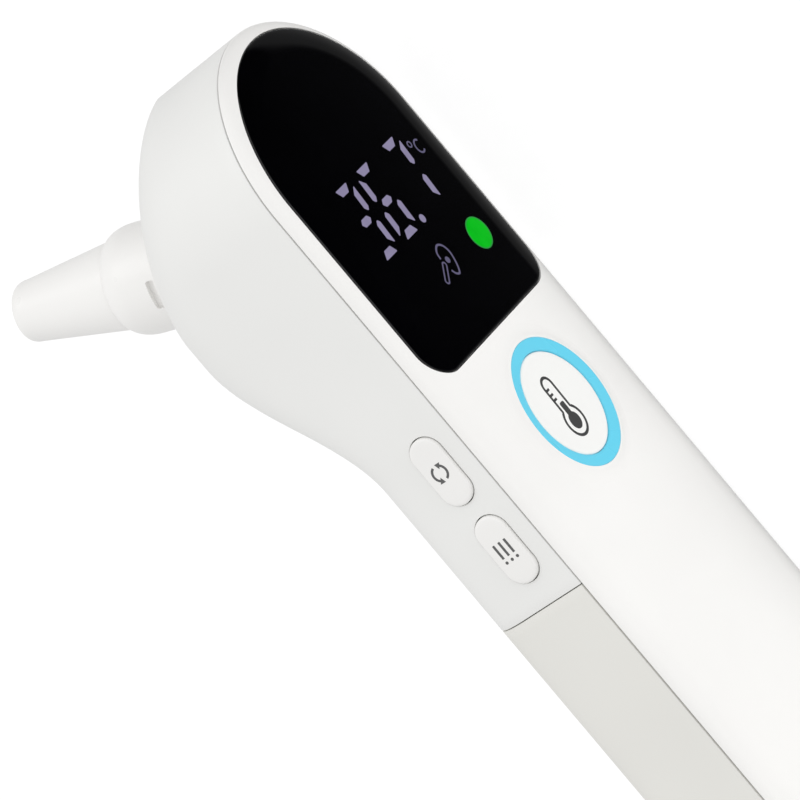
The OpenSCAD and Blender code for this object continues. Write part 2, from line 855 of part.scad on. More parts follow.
// A lead from a contact's tab, down the tray's wall and through the bulkhead to the main board.
module lead(z) {
    wire([
        [-23.05, 12.5, z],
        [-22.6, 10.9, z],
        [-22.2, 9.4, z * 0.9],
        [-21.8, 7.9, z * 0.8],
        [-20.6, 6.4, z * 0.7],
        [-19, 5.5, z * 0.6],
        [-17, 5.1, z * 0.55],
        [-15.4, 5.6, z * 0.5],
        [-14.6, 7.2, z * 0.5],
        [-13.6, 8.4, z * 0.5],
        [-12, 8.0, z * 0.5]
    ], 0.55);
}

module red_lead() {
    color("red") placed() lead(cell_z);
}

module black_lead() {
    color([0.1, 0.1, 0.1]) placed() lead(-cell_z);
}

// Screws

module board_screws() {
    color("silver") placed() for (p = board_screw_spots) translate([p[0], board_back + 0.02, p[1]])
        rotate([-90, 0, 0]) screw(1.7, 0.8, 4.2);
}

module tray_screws() {
    color("silver") placed() for (p = tray_screw_spots) translate([p[0], tray_floor_y + 1.22, p[1]])
        rotate([-90, 0, 0]) screw(1.7, 0.8, 2.6);
}

module housing_screws() {
    color("silver") placed() for (p = housing_screw_spots) translate([p[0], ear_y + 1.82, p[1]])
        rotate([-90, 0, 0]) screw(1.7, 0.8, 4.6);
}

front_shell();
rear_shell();
battery_cover();
display_lens();
lens_tape();
display_module();
status_light();
button_light_ring();
ring_leds();
measure_button();
measure_switch();
measure_switch_stem();
mode_button();
mode_switch();
mode_switch_stem();
memory_button();
memory_switch();
memory_switch_stem();
side_switch_board();
main_board();
microcontroller();
small_chips();
board_passives();
crystal();
buzzer();
probe_collar();
probe_nozzle();
probe_window();
waveguide();
sensor_can();
sensor_pins();
sensor_holder();
sensor_o_ring();
sensor_board();
sensor_flex();
battery_tray();
battery_1();
battery_2();
tail_spring();
head_spring();
positive_contact();
negative_contact();
bridge_contact();
red_lead();
black_lead();
board_screws();
tray_screws();
housing_screws();
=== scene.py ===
"""A digital ear thermometer, lying on its plain side.

Shapes are worked out in millimetres about the measure button: x towards the round head, y from the
display face towards the ear probe, z towards the side with two buttons. They are then moved to the
row frame, in metres.
"""

import math

import bmesh
import bpy
import numpy as np
from mathutils import Matrix, Quaternion, Vector


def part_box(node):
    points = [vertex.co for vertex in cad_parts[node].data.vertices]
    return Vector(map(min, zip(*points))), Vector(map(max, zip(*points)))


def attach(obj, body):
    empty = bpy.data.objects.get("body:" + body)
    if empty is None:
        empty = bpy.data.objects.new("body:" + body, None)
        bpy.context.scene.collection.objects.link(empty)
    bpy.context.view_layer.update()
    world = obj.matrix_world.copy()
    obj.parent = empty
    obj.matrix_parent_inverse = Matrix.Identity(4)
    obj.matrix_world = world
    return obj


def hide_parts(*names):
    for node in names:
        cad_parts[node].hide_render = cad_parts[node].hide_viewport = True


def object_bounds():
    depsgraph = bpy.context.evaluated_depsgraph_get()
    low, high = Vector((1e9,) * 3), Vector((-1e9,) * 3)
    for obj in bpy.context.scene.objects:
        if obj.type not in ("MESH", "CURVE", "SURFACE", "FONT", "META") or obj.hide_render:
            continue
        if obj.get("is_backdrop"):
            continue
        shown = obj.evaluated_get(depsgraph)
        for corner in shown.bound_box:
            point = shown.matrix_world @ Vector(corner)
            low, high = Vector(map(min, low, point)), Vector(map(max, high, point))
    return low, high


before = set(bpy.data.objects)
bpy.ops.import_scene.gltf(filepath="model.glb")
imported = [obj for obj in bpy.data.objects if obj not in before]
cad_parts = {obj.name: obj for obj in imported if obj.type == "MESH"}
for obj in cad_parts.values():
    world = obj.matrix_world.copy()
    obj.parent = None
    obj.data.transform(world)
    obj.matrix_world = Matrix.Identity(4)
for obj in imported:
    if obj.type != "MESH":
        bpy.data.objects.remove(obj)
cad_low, cad_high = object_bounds()

# Where the CAD puts things

MM = 0.001
button_low, button_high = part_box("measure_button")
shell_low, shell_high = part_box("front_shell")
ORIGIN = Vector((
    (button_low.x + button_high.x) / 2,
    shell_low.y,
    (button_low.z + button_high.z) / 2,
))


def local_box(node):
    """A CAD node's box in millimetres about the measure button."""
    low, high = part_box(node)
    return (low - ORIGIN) / MM, (high - ORIGIN) / MM


def middle(low, high):
    return [(a + b) / 2 for a, b in zip(low, high)]


lens_low, lens_high = local_box("display_lens")
mode_low, mode_high = local_box("mode_button")
memory_low, memory_high = local_box("memory_button")
light_low, light_high = local_box("status_light")

HALF_W = (shell_high.z - shell_low.z) / 2 / MM
HEAD_END = (shell_high.x - ORIGIN.x) / MM
TAIL = (shell_low.x - ORIGIN.x) / MM
HEAD_X = HEAD_END - HALF_W
TAIL_R = 12.0
TAIL_C = TAIL + TAIL_R
SEAM_Y = 2.05
SHOULDER = 4.6
WALL = 1.6
COVER_X = -15.3
LEAN = math.tan(math.radians(2.5))
PROBE_AT = (37.5, 24.6)
PROBE_TILT = math.radians(18.9)
COLLAR_R = 6.55
LENS_R = lens_high.z
LENS_BOTTOM = lens_low.x
LENS_CORNER = 4.3
RING_R = 8.4
BUTTON_R = 6.6
SIDE_BUTTON_LENGTH, SIDE_BUTTON_WIDTH = 9.0, 4.2

# Between these two places the handle swells into the head.
SWELL_START, SWELL_END = 5.4, 28.5
HANDLE_DEPTH, HEAD_DEPTH, END_DEPTH = 18.2, 28.7, 15.4
HANDLE_WALL, HEAD_WALL = 10.0, 12.5
HANDLE_SQUARE, HEAD_SQUARE = 3.0, 2.5
FALL_START, FALL_POWER = 32, 1.5


# Shape rules of the body

def smooth(t):
    t = min(1.0, max(0.0, t))
    return t * t * (3 - 2 * t)


def mix(a, b, t):
    return a + (b - a) * t


def swell(x):
    return smooth((x - SWELL_START) / (SWELL_END - SWELL_START))


def back_depth(x):
    fall = max(0.0, (x - FALL_START) / (HEAD_END - FALL_START)) ** FALL_POWER
    return mix(HANDLE_DEPTH, HEAD_DEPTH, swell(x)) - (HEAD_DEPTH - END_DEPTH) * fall


def wall_depth(x):
    return mix(HANDLE_WALL, HEAD_WALL, swell(x))


def squareness(x):
    return mix(HANDLE_SQUARE, HEAD_SQUARE, swell(x))


def even(start, end, count):
    """Evenly spaced values from start up to, but without, end."""
    return np.linspace(start, end, count, endpoint=False)


def around(steps):
    """Angles once round."""
    return even(0, 2 * math.pi, steps)


def d_shape(w, r, low, head_steps, corner_steps, side_steps, end_steps):
    """A D of half width w: round at the head, with corners of radius r at low. Points (x, z)."""
    c = w - r
    quarter = even(0, math.pi / 2, corner_steps)
    pts = [(HEAD_X + w * math.cos(a), w * math.sin(a))
           for a in even(-math.pi / 2, math.pi / 2, head_steps)]
    pts += [(x, w) for x in even(HEAD_X, low + r, side_steps)]
    pts += [(low + r - r * math.sin(a), c + r * math.cos(a)) for a in quarter]
    pts += [(low, z) for z in even(c, -c, end_steps)]
    pts += [(low + r - r * math.cos(a), -c - r * math.sin(a)) for a in quarter]
    pts += [(x, -w) for x in even(low + r, HEAD_X, side_steps)]
    return pts


def outline(inset):
    """The body's outline seen from the front, moved inwards."""
    return d_shape(HALF_W - inset, max(TAIL_R - inset, 0.01), TAIL + inset, 120, 24, 50, 8)


def edge_gap(x, z):
    """Distance from a point of the face in to the body's outline."""
    if x > HEAD_X:
        return HALF_W - math.hypot(x - HEAD_X, z)
    if x > TAIL_C:
        return HALF_W - abs(z)
    if abs(z) > HALF_W - TAIL_R:
        return TAIL_R - math.hypot(TAIL_C - x, abs(z) - HALF_W + TAIL_R)
    return x - TAIL


def face_depth(x, z):
    t = min(1.0, max(0.0, 1 - edge_gap(x, z) / SHOULDER))
    return SEAM_Y * (1 - math.sqrt(1 - t * t))


def lens_outline(inset):
    """The lens's outline seen from the front, moved inwards."""
    corner = max(LENS_CORNER - inset, 0.01)
    return d_shape(LENS_R - inset, corner, LENS_BOTTOM + inset, 110, 16, 30, 30)


def stadium(length, width, steps=20):
    """A slot outline about the origin: points (u, v)."""
    r, half = width / 2, (length - width) / 2
    right = [(half + r * math.cos(a), r * math.sin(a))
             for a in np.linspace(-math.pi / 2, math.pi / 2, steps)]
    left = [(-half + r * math.cos(a), r * math.sin(a))
            for a in np.linspace(math.pi / 2, 3 * math.pi / 2, steps)]
    return right + left


# Mesh building

def rings_mesh(rings, caps=(True, True)):
    """Vertices and faces of a closed tube through rings of equal length, with flat ends."""
    n = len(rings[0])
    verts = [p for ring in rings for p in ring]
    faces = []
    for j in range(len(rings) - 1):
        for i in range(n):
            k = (i + 1) % n
            faces.append((j * n + i, j * n + k, (j + 1) * n + k, (j + 1) * n + i))
    if caps[0]:
        faces.append(tuple(range(n - 1, -1, -1)))
    if caps[1]:
        faces.append(tuple((len(rings) - 1) * n + i for i in range(n)))
    return verts, faces


def lathe_mesh(profile, steps=128):
    """A closed profile of (radius, height) turned about the local z axis."""
    rings = [[(r * math.cos(a), r * math.sin(a), h) for r, h in profile] for a in around(steps)]
    n = len(profile)
    verts = [p for ring in rings for p in ring]
    faces = []
    for j in range(steps):
        m = (j + 1) % steps
        for i in range(n):
            k = (i + 1) % n
            faces.append((j * n + i, m * n + i, m * n + k, j * n + k))
    return verts, faces


def rounded(points, radii, steps=5):
    """A closed outline whose corners are rounded by the given radii."""
    out = []
    n = len(points)
    for i, (p, r) in enumerate(zip(points, radii)):
        if not r:
            out.append(p)
            continue
        p = np.array(p, float)
        a = np.array(points[i - 1], float) - p
        b = np.array(points[(i + 1) % n], float) - p
        la, lb = np.linalg.norm(a), np.linalg.norm(b)
        half = math.acos(max(-1, min(1, a @ b / la / lb))) / 2
        reach = min(r / math.tan(half), la * 0.49, lb * 0.49)
        start, end = p + a / la * reach, p + b / lb * reach
        for t in np.linspace(0, 1, steps + 1):
            q = (1 - t) ** 2 * start + 2 * t * (1 - t) * p + t * t * end
            out.append(tuple(q))
    return out


def sweep_mesh(path, radius, steps=12):
    """A round wire along a path of points, with rounded ends."""
    path = [np.array(p, float) for p in path]
    rings = []
    up = np.array((0.31, 0.57, 0.76))
    for i, p in enumerate(path):
        d = path[min(i + 1, len(path) - 1)] - path[max(i - 1, 0)]
        d /= np.linalg.norm(d)
        u = up - d * (up @ d)
        u /= np.linalg.norm(u)
        up = u
        v = np.cross(d, u)
        sizes = [(0, 1)]
        if i == 0:
            sizes = [(-0.9, 0.35), (-0.6, 0.8), (0, 1)]
        if i == len(path) - 1:
            sizes = [(0, 1), (0.6, 0.8), (0.9, 0.35)]
        for shift, size in sizes:
            rings.append([tuple(p + d * shift * radius
                                + radius * size * (u * math.cos(a) + v * math.sin(a)))
                          for a in around(steps)])
    return rings_mesh(rings)


def curve_through(points, count):
    """A smooth run of points through the given ones."""
    pts = [np.array(p, float) for p in points]
    pts = [2 * pts[0] - pts[1]] + pts + [2 * pts[-1] - pts[-2]]
    out = []
    for i in range(1, len(pts) - 2):
        a, b, c, d = pts[i - 1:i + 3]
        for t in even(0, 1, count):
            out.append(tuple(0.5 * (2 * b + (c - a) * t + (2 * a - 5 * b + 4 * c - d) * t ** 2
                                    + (3 * b - a - 3 * c + d) * t ** 3)))
    out.append(tuple(pts[-2]))
    return out


def joined(parts):
    """Several (vertices, faces) as one."""
    verts, faces = [], []
    for v, f in parts:
        base = len(verts)
        verts += list(v)
        faces += [tuple(i + base for i in q) for q in f]
    return verts, faces


def moved(part, matrix):
    return [tuple(matrix @ Vector(v)) for v in part[0]], part[1]


# In millimetres: points nearer than WELD become one and edges shorter than FLAT are taken out
# when a mesh is built; SPECK does both after a cut.
WELD, FLAT, SPECK = 0.0015, 0.0005, 0.002


def mesh_object(name, part):
    mesh = bpy.data.meshes.new(name)
    mesh.from_pydata([tuple(v) for v in part[0]], [], part[1])
    bm = bmesh.new()
    bm.from_mesh(mesh)
    bmesh.ops.remove_doubles(bm, verts=bm.verts, dist=WELD)
    bmesh.ops.dissolve_degenerate(bm, edges=bm.edges, dist=FLAT)
    bmesh.ops.recalc_face_normals(bm, faces=bm.faces)
    bm.to_mesh(mesh)
    bm.free()
    ob = bpy.data.objects.new(name, mesh)
    bpy.context.collection.objects.link(ob)
    return ob


def clean(mesh):
    """Clears what a cut leaves behind: doubled points and faces with no area."""
    bm = bmesh.new()
    bm.from_mesh(mesh)
    bmesh.ops.remove_doubles(bm, verts=bm.verts, dist=SPECK)
    bmesh.ops.dissolve_degenerate(bm, edges=bm.edges, dist=SPECK)
    bmesh.ops.triangulate(bm, faces=[face for face in bm.faces if len(face.verts) > 4])
    bmesh.ops.dissolve_degenerate(bm, edges=bm.edges, dist=SPECK)
    bm.to_mesh(mesh)
    bm.free()


def cut(ob, part):
    """Cuts a closed shape out of ob, both still in local millimetres."""
    tool = mesh_object("tool", part)
    mod = ob.modifiers.new("cut", "BOOLEAN")
    mod.operation = "DIFFERENCE"
    mod.solver = "EXACT"
    mod.object = tool
    bpy.context.view_layer.update()
    evaluated = ob.evaluated_get(bpy.context.evaluated_depsgraph_get())
    result = bpy.data.meshes.new_from_object(evaluated)
    ob.modifiers.clear()
    clean(result)
    ob.data = result
    bpy.data.objects.remove(tool)


def settle(ob, material, body="thermometer", nodes=(), angle=32):
    """Puts a finished local shape into the row frame and fastens it to its body."""
    mesh = ob.data
    mesh.transform(Matrix.Translation(ORIGIN) @ Matrix.Scale(MM, 4))
    mesh.materials.clear()
    mesh.materials.append(material)
    for poly in mesh.polygons:
        poly.use_smooth = True
        poly.material_index = 0
    mesh.set_sharp_from_angle(angle=math.radians(angle))
    mesh.update()
    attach(ob, body)
    if nodes:
        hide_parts(*nodes)
    return ob


def piece(name, part, material, body="thermometer", nodes=(), angle=32):
    return settle(mesh_object(name, part), material, body, nodes, angle)


ALONG_PROBE = Matrix.Translation((PROBE_AT[0], PROBE_AT[1], 0)) @ Matrix.Rotation(
    -PROBE_TILT, 4, "Z") @ Matrix.Rotation(-math.pi / 2, 4, "X")
ALONG_Y = Matrix.Rotation(-math.pi / 2, 4, "X")


def round_bar(sizes, steps):
    """A closed round bar along the local z axis, through (radius, height) pairs."""
    return rings_mesh([[(r * math.cos(a), r * math.sin(a), h) for a in around(steps)]
                       for r, h in sizes])


def prism(points, y0, y1):
    """A closed shape through the face: (x, z) points swept from y0 to y1."""
    return rings_mesh([[(x, y, z) for x, z in points] for y in (y0, y1)])


# Materials

PLASTIC_IOR = 1.49


def srgb(r, g, b):
    """Display values 0-255 as a linear colour."""
    out = []
    for v in (r, g, b):
        v /= 255
        out.append(v / 12.92 if v <= 0.04045 else ((v + 0.055) / 1.055) ** 2.4)
    return (*out, 1.0)


def base_material(name):
    mat = bpy.data.materials.new(name)
    mat.use_nodes = True
    nodes = mat.node_tree.nodes
    return mat, nodes, nodes["Principled BSDF"]


def put(socket, value):
    """Sets an input to a value, or links it to another node's output."""
    if isinstance(value, bpy.types.NodeSocket):
        socket.id_data.links.new(value, socket)
    else:
        socket.default_value = value


def fill(node, **values):
    """Puts values into a node's inputs; an underscore in a name stands for a space."""
    for name, value in values.items():
        put(node.inputs[name.replace("_", " ")], value)


def place_of(nodes, space="Object"):
    """A point's place, as one output for each axis."""
    split = nodes.new("ShaderNodeSeparateXYZ")
    fill(split, Vector=nodes.new("ShaderNodeTexCoord").outputs[space])
    return split.outputs


def noise(nodes, scale, detail=3.0, rough=0.5, stretch=(1, 1, 1)):
    coord = nodes.new("ShaderNodeTexCoord")
    place = nodes.new("ShaderNodeMapping")
    tex = nodes.new("ShaderNodeTexNoise")
    fill(place, Vector=coord.outputs["Object"], Scale=stretch)
    fill(tex, Vector=place.outputs["Vector"], Scale=scale, Detail=detail, Roughness=rough)
    return tex.outputs["Fac"]


def ramp(nodes, source, low, high, at=(0.3, 0.7), kind="LINEAR"):
    node = nodes.new("ShaderNodeMapRange")
    node.interpolation_type = kind
    fill(node, Value=source, From_Min=at[0], From_Max=at[1], To_Min=low, To_Max=high)
    return node.outputs["Result"]


def tint(nodes, source, low, high, at=(0.3, 0.7)):
    node = nodes.new("ShaderNodeValToRGB")
    for element, position, color in zip(node.color_ramp.elements, at, (low, high)):
        element.position = position
        element.color = color
    fill(node, Fac=source)
    return node.outputs["Color"]


def bump(nodes, layers):
    """A chain of bumps: each layer is (height source, distance in metres, strength)."""
    previous = None
    for source, distance, strength in layers:
        node = nodes.new("ShaderNodeBump")
        fill(node, Height=source, Distance=distance, Strength=strength)
        if previous:
            fill(node, Normal=previous)
        previous = node.outputs["Normal"]
    return previous


def scaled(color, k):
    return (color[0] * k, color[1] * k, color[2] * k, 1.0)


def moulded(name, color, rough=0.35, grain=2600, grain_depth=0.000006, wave=0.00002, spread=0.03):
    """Moulded plastic: fine spark-eroded grain, slow sink waves, and uneven gloss."""
    mat, nodes, bsdf = base_material(name)
    fine = noise(nodes, grain, 2.0, 0.6)
    slow = noise(nodes, 60, 2.0, 0.4)
    hand = noise(nodes, 150, 2.0, 0.4)
    fill(bsdf, IOR=PLASTIC_IOR,
         Base_Color=tint(nodes, slow, scaled(color, 1 - spread), scaled(color, 1 + spread * 0.4),
                         (0.2, 0.8)),
         Roughness=ramp(nodes, hand, rough - 0.05, rough + 0.06, (0.15, 0.85)),
         Normal=bump(nodes, [(slow, wave, 0.25), (fine, grain_depth, 0.5)]))
    return mat


def metal(name, color, rough=0.28, stretch=(1, 1, 1), brushed=3000, spread=0.12):
    """Bare metal: drawn or turned lines, uneven gloss and faint tarnish."""
    mat, nodes, bsdf = base_material(name)
    lines = noise(nodes, brushed, 3.0, 0.7, stretch)
    cloud = noise(nodes, 260, 4.0, 0.6)
    fill(bsdf, Metallic=1.0, Base_Color=tint(nodes, cloud, scaled(color, 1 - spread), color),
         Roughness=ramp(nodes, lines, rough - 0.08, rough + 0.12),
         Normal=bump(nodes, [(lines, 0.000004, 0.4), (cloud, 0.00001, 0.2)]))
    return mat


def glowing(name, color, strength, rough=0.2):
    """A lit mark seen through the smoked lens: slightly uneven light."""
    mat, nodes, bsdf = base_material(name)
    cloud = noise(nodes, 700, 2.0, 0.5)
    fill(bsdf, Base_Color=(0.0006, 0.0006, 0.0006, 1), Emission_Strength=strength,
         Emission_Color=tint(nodes, cloud, scaled(color, 0.9), color),
         Roughness=ramp(nodes, cloud, rough - 0.03, rough + 0.05))
    return mat


def lens_material(name):
    """Smoked, polished acrylic: nearly black, mirror smooth, with a trace of handling haze."""
    mat, nodes, bsdf = base_material(name)
    haze = noise(nodes, 90, 4.0, 0.6)
    fill(bsdf, IOR=PLASTIC_IOR, Roughness=ramp(nodes, haze, 0.015, 0.035),
         Base_Color=tint(nodes, haze, (0.0004, 0.0004, 0.0007, 1), (0.0008, 0.0008, 0.0013, 1)))
    return mat


def circuit_board(name, color):
    """Green solder mask over copper tracks, which show as slightly raised, paler bands."""
    mat, nodes, bsdf = base_material(name)
    coord = nodes.new("ShaderNodeTexCoord")
    brick = nodes.new("ShaderNodeTexBrick")
    turn = nodes.new("ShaderNodeMapping")
    fill(turn, Vector=coord.outputs["Object"], Rotation=(math.pi / 2, 0, 0))
    fill(brick, Vector=turn.outputs["Vector"], Scale=420, Mortar_Size=0.03, Color1=(0, 0, 0, 1),
         Color2=(0.1, 0.1, 0.1, 1), Mortar=(1, 1, 1, 1))
    tracks = brick.outputs["Color"]
    fine = noise(nodes, 2500, 2.0, 0.5)
    fill(bsdf, Base_Color=tint(nodes, tracks, color, scaled(color, 1.9), (0.1, 0.9)),
         Roughness=ramp(nodes, fine, 0.22, 0.38),
         Normal=bump(nodes, [(tracks, 0.00003, 0.6), (fine, 0.000005, 0.3)]))
    return mat


FRONT_WHITE = moulded("front_white_plastic", srgb(240, 239, 237), 0.33)
REAR_WHITE = moulded("rear_white_plastic", srgb(233, 233, 231), 0.38, grain=2200)
COVER_WHITE = moulded("cover_matt_plastic", srgb(226, 225, 220), 0.5, grain=1700,
                      grain_depth=0.00001)
BUTTON_WHITE = moulded("button_white_plastic", srgb(240, 240, 238), 0.3)
SIDE_WHITE = moulded("side_button_plastic", srgb(238, 237, 235), 0.34)
PROBE_WHITE = moulded("probe_white_plastic", srgb(241, 240, 238), 0.3, grain=3200)
RING_BLUE = moulded("ring_blue_plastic", srgb(100, 208, 236), 0.28)
INK = moulded("icon_ink", srgb(66, 66, 66), 0.55, grain=4000)
PALE_INK = moulded("side_icon_ink", srgb(88, 88, 88), 0.55, grain=4000)

# The two halves of the shell

SEAM_GAP = 0.1


def front_shell():
    theta = [math.radians(a) for a in (7, 10, 15, 22, 30, 38, 46, 54, 62, 70, 78, 85, 90)]
    edge = SEAM_Y - SEAM_GAP
    # From the inside out: under the face, round the lip that enters the rear half, and the edge.
    steps = [(4.6, WALL), (3.3, edge), (2.75, edge), (2.75, 3.3), (2.65, 3.4), (1.95, 3.4),
             (1.85, 3.3), (1.85, edge), (0.08, edge), (0.02, edge - 0.04)]
    steps += [(SHOULDER * (1 - math.cos(a)), SEAM_Y * (1 - math.sin(a))) for a in theta]
    rings = [[(x, y, z) for x, z in outline(inset)] for inset, y in steps]
    ob = mesh_object("front_shell_skin", rings_mesh(rings))
    # The pocket for the lens, a little larger than it all round.
    pocket = [[(x, y, z) for x, z in lens_outline(inset)]
              for inset, y in ((-0.13, -1), (-0.13, 1.1))]
    cut(ob, rings_mesh(pocket))
    ring_hole = round_bar(((RING_R + 0.15, -1), (RING_R + 0.02, 0.06), (RING_R + 0.02, 5)), 160)
    cut(ob, moved(ring_hole, ALONG_Y))
    # Behind the lens the face is open for the display module.
    cut(ob, prism([(16, -12.9), (42, -12.9), (42, 12.9), (16, 12.9)], 0.5, 5))
    return ob


def section(x, w, share, inset, y_start, back_steps=40, wall_steps=6):
    """Points across the rear half at one station, from the buttons' side round the back."""
    wall_y = wall_depth(x)
    rise = (back_depth(x) - inset - wall_y) * share
    power = 2 / squareness(x)
    pts = [(y, w) for y in even(y_start, wall_y, wall_steps)]
    for i in range(back_steps + 1):
        a = math.pi * i / back_steps
        # Points are spread so that the tight corners get more of them.
        a = a - 0.18 * math.sin(4 * a) / 2
        c, s = math.cos(a), max(0.0, math.sin(a))
        pts.append((wall_y + rise * s ** power, w * math.copysign(abs(c) ** power, c)))
    pts += [(y, -w) for y in np.linspace(wall_y, y_start, wall_steps + 1)[1:]]
    return pts


def tail_stations(inset, count=26):
    """(x, half width, share) from the straight handle to the tail's end."""
    out = []
    for phi in np.linspace(0, math.pi / 2, count + 1)[1:]:
        s = math.sin(phi) ** (2 / 3)
        share = max(0.0, math.cos(phi)) ** (2 / 3)
        out.append((TAIL_C - (TAIL_R - inset) * s,
                    HALF_W - TAIL_R + (TAIL_R - inset) * math.sqrt(max(0.0, 1 - s * s)), share))
    return out


def head_stations(inset, count=34):
    w = HALF_W - inset
    return [(HEAD_X + w * math.sin(a), w * math.cos(a), 1.0)
            for a in np.linspace(0, math.pi / 2, count + 1)[1:]]


def rear_grid(stations_of, seam, towards, y_edge):
    """A closed shell skin from the leaning seam along the body.

    stations_of(inset) gives its stations, seam is the seam's place, and towards is +1 when the
    piece lies on the head's side of the seam."""
    def ring(station, inset, y_start, lean):
        x, w, share = station
        return [(x + lean * (y - SEAM_Y), y, z) for y, z in section(x, w, share, inset, y_start)]

    def edge_point(station, side, y, lean):
        return (station[0] + lean * (y - SEAM_Y), y, side * station[1])

    # The outer skin's rounded edges, as (inset, step in from the edge).
    rounds = [(0.1, 0.0), (0.03, 0.03), (0.0, 0.1)]
    inner = WALL
    outer_st = {i: stations_of(i) for i in (0.0, 0.03, 0.1, inner)}
    count = len(outer_st[0.0])

    def lean_at(k):
        x = outer_st[0.0][k][0]
        return LEAN * (1 - smooth(abs(x - seam) / 18))

    rows = []
    for k in range(count):
        lean = lean_at(k)
        row = []
        for inset, step in rounds[:2]:
            row.append(edge_point(outer_st[inset][k], 1, y_edge + step, lean))
        row += ring(outer_st[0.0][k], 0.0, y_edge + 0.1, lean)
        for inset, step in reversed(rounds[:2]):
            row.append(edge_point(outer_st[inset][k], -1, y_edge + step, lean))
        row_in = ring(outer_st[inner][k], inner, y_edge, lean)
        rows.append((row, row_in))
    # The edge at the seam turns in over two extra rows.
    first = []
    for inset, step in rounds[:2]:
        st = list(stations_of(inset)[0])
        st[0] = seam + towards * step
        row = [(st[0] + LEAN * (y - SEAM_Y), y, z) for y, z in
               [(y_edge, st[1]), (y_edge + 0.03, st[1])]
               + section(st[0], st[1], st[2], inset, y_edge + 0.1)
               + [(y_edge + 0.03, -st[1]), (y_edge, -st[1])]]
        first.append(row)
    verts, faces = [], []
    n_out = len(rows[0][0])
    n_in = len(rows[0][1])
    outs = first + [r[0] for r in rows]
    ins = [r[1] for r in rows]
    for row in outs:
        verts += row
    base = len(verts)
    for row in ins:
        verts += row
    for j in range(len(outs) - 1):
        for i in range(n_out - 1):
            a = j * n_out + i
            faces.append((a, a + 1, a + n_out + 1, a + n_out))
    for j in range(len(ins) - 1):
        for i in range(n_in - 1):
            a = base + j * n_in + i
            faces.append((a, a + n_in, a + n_in + 1, a + 1))
    # Rims: along the seam with the front shell, and across at the leaning seam.
    extra = len(first)
    for j in range(len(ins) - 1):
        o, q = (j + extra) * n_out, base + j * n_in
        faces.append((o, o + n_out, q + n_in, q))
        faces.append((o + n_out - 1, q + n_in - 1, q + 2 * n_in - 1, o + 2 * n_out - 1))
    for j in range(extra):
        faces.append((j * n_out, (j + 1) * n_out, base))
        faces.append(((j + 1) * n_out - 1, base + n_in - 1, (j + 2) * n_out - 1))
    # The inner ring has four fewer points than the outer one, two at each side.
    for i in range(n_in - 1):
        faces.append((i + 2, base + i, base + i + 1, i + 3))
    faces.append((0, base, 2, 1))
    faces.append((n_out - 1, n_out - 2, n_out - 3, base + n_in - 1))
    # The far end is left open; these are its points.
    far_out = [(len(outs) - 1) * n_out + i for i in range(n_out)]
    far_in = [base + (len(ins) - 1) * n_in + i for i in range(n_in)]
    return verts, faces, far_out, far_in


def rear_shell():
    start = COVER_X + 0.1

    def stations(inset):
        w = HALF_W - inset
        return ([(start, w, 1.0)] + [(x, w, 1.0) for x in np.arange(COVER_X + 1.3, HEAD_X, 1.0)]
                + [(HEAD_X, w, 1.0)] + head_stations(inset))

    # Each skin's two sides meet in a line at the head's end, so that end needs no cap.
    verts, faces, _, _ = rear_grid(stations, COVER_X, 1, SEAM_Y + 0.07)
    ob = mesh_object("rear_shell_skin", (verts, faces))
    for low, high in ((mode_low, mode_high), (memory_low, memory_high)):
        cx, cy, _ = middle(low, high)
        tool = [[(cx + u, cy + v, z) for u, v in stadium(SIDE_BUTTON_LENGTH + 2 * g,
                                                         SIDE_BUTTON_WIDTH + 2 * g)]
                for g, z in ((0.12, 14.0), (0.12, HALF_W - 0.08), (0.2, HALF_W + 0.01), (0.2, 22))]
        cut(ob, rings_mesh(tool))
    cut(ob, moved(round_bar(((COLLAR_R + 0.28, -9), (COLLAR_R + 0.28, 14)), 128), ALONG_PROBE))
    # Three slots over the buzzer.
    for shift in (-2.2, 0, 2.2):
        slot = [[(1.5 + shift + v, y, u) for u, v in stadium(5.9, 0.9, 10)] for y in (13, 25)]
        cut(ob, rings_mesh(slot))
    return ob


def battery_cover():
    start = COVER_X - 0.22

    def stations(inset):
        w = HALF_W - inset
        return ([(start, w, 1.0)] + [(x, w, 1.0) for x in np.arange(COVER_X - 1.3, TAIL_C, -1.5)]
                + [(TAIL_C, w, 1.0)] + tail_stations(inset))

    verts, faces, far_out, far_in = rear_grid(stations, COVER_X - 0.12, -1, SEAM_Y + 0.12)
    faces.append(tuple(far_out))
    faces.append(tuple(reversed(far_in)))
    # Rim between the skins at the tail end.
    faces.append((far_out[0], far_in[0], far_in[-1], far_out[-1]))
    ob = mesh_object("battery_cover_skin", (verts, faces))
    # Five grip grooves across the back, each shorter than the one before.
    groove_y, groove_r = 18.35, 0.6
    for i in range(5):
        x = COVER_X - 7 - 2.4 * i
        half = 6 - 0.7 * i
        cut(ob, sweep_mesh([(x, groove_y, z) for z in np.linspace(-half, half, 12)], groove_r, 20))
    return ob


front = front_shell()
rear = rear_shell()
cover = battery_cover()
settle(front, FRONT_WHITE, nodes=["front_shell"])
settle(rear, REAR_WHITE, nodes=["rear_shell"])
settle(cover, COVER_WHITE, "battery_cover", nodes=["battery_cover"])

# The lens and what shows through it

def lens():
    """The lens: a nearly flat back, a rounded edge, and a front that follows the face."""
    def rings(steps, curve):
        return [[(x, face_depth(x, z) * curve + y, z) for x, z in lens_outline(inset)]
                for inset, y in steps]

    back = [(0.06, 1.0), (0.0, 0.94)]
    edge = [(0.0, 0.2), (0.02, 0.11), (0.06, 0.055), (0.12, 0.022), (0.2, 0.006)]
    face = [(inset, 0) for inset in (0.3, 0.4, 0.5, 0.65, 0.8, 1.0, 1.2, 1.5, 1.8, 2.15, 2.5, 2.9,
                                     3.3, 4.0)]
    return rings_mesh(rings(back, 0.2) + rings(edge + face, 1))


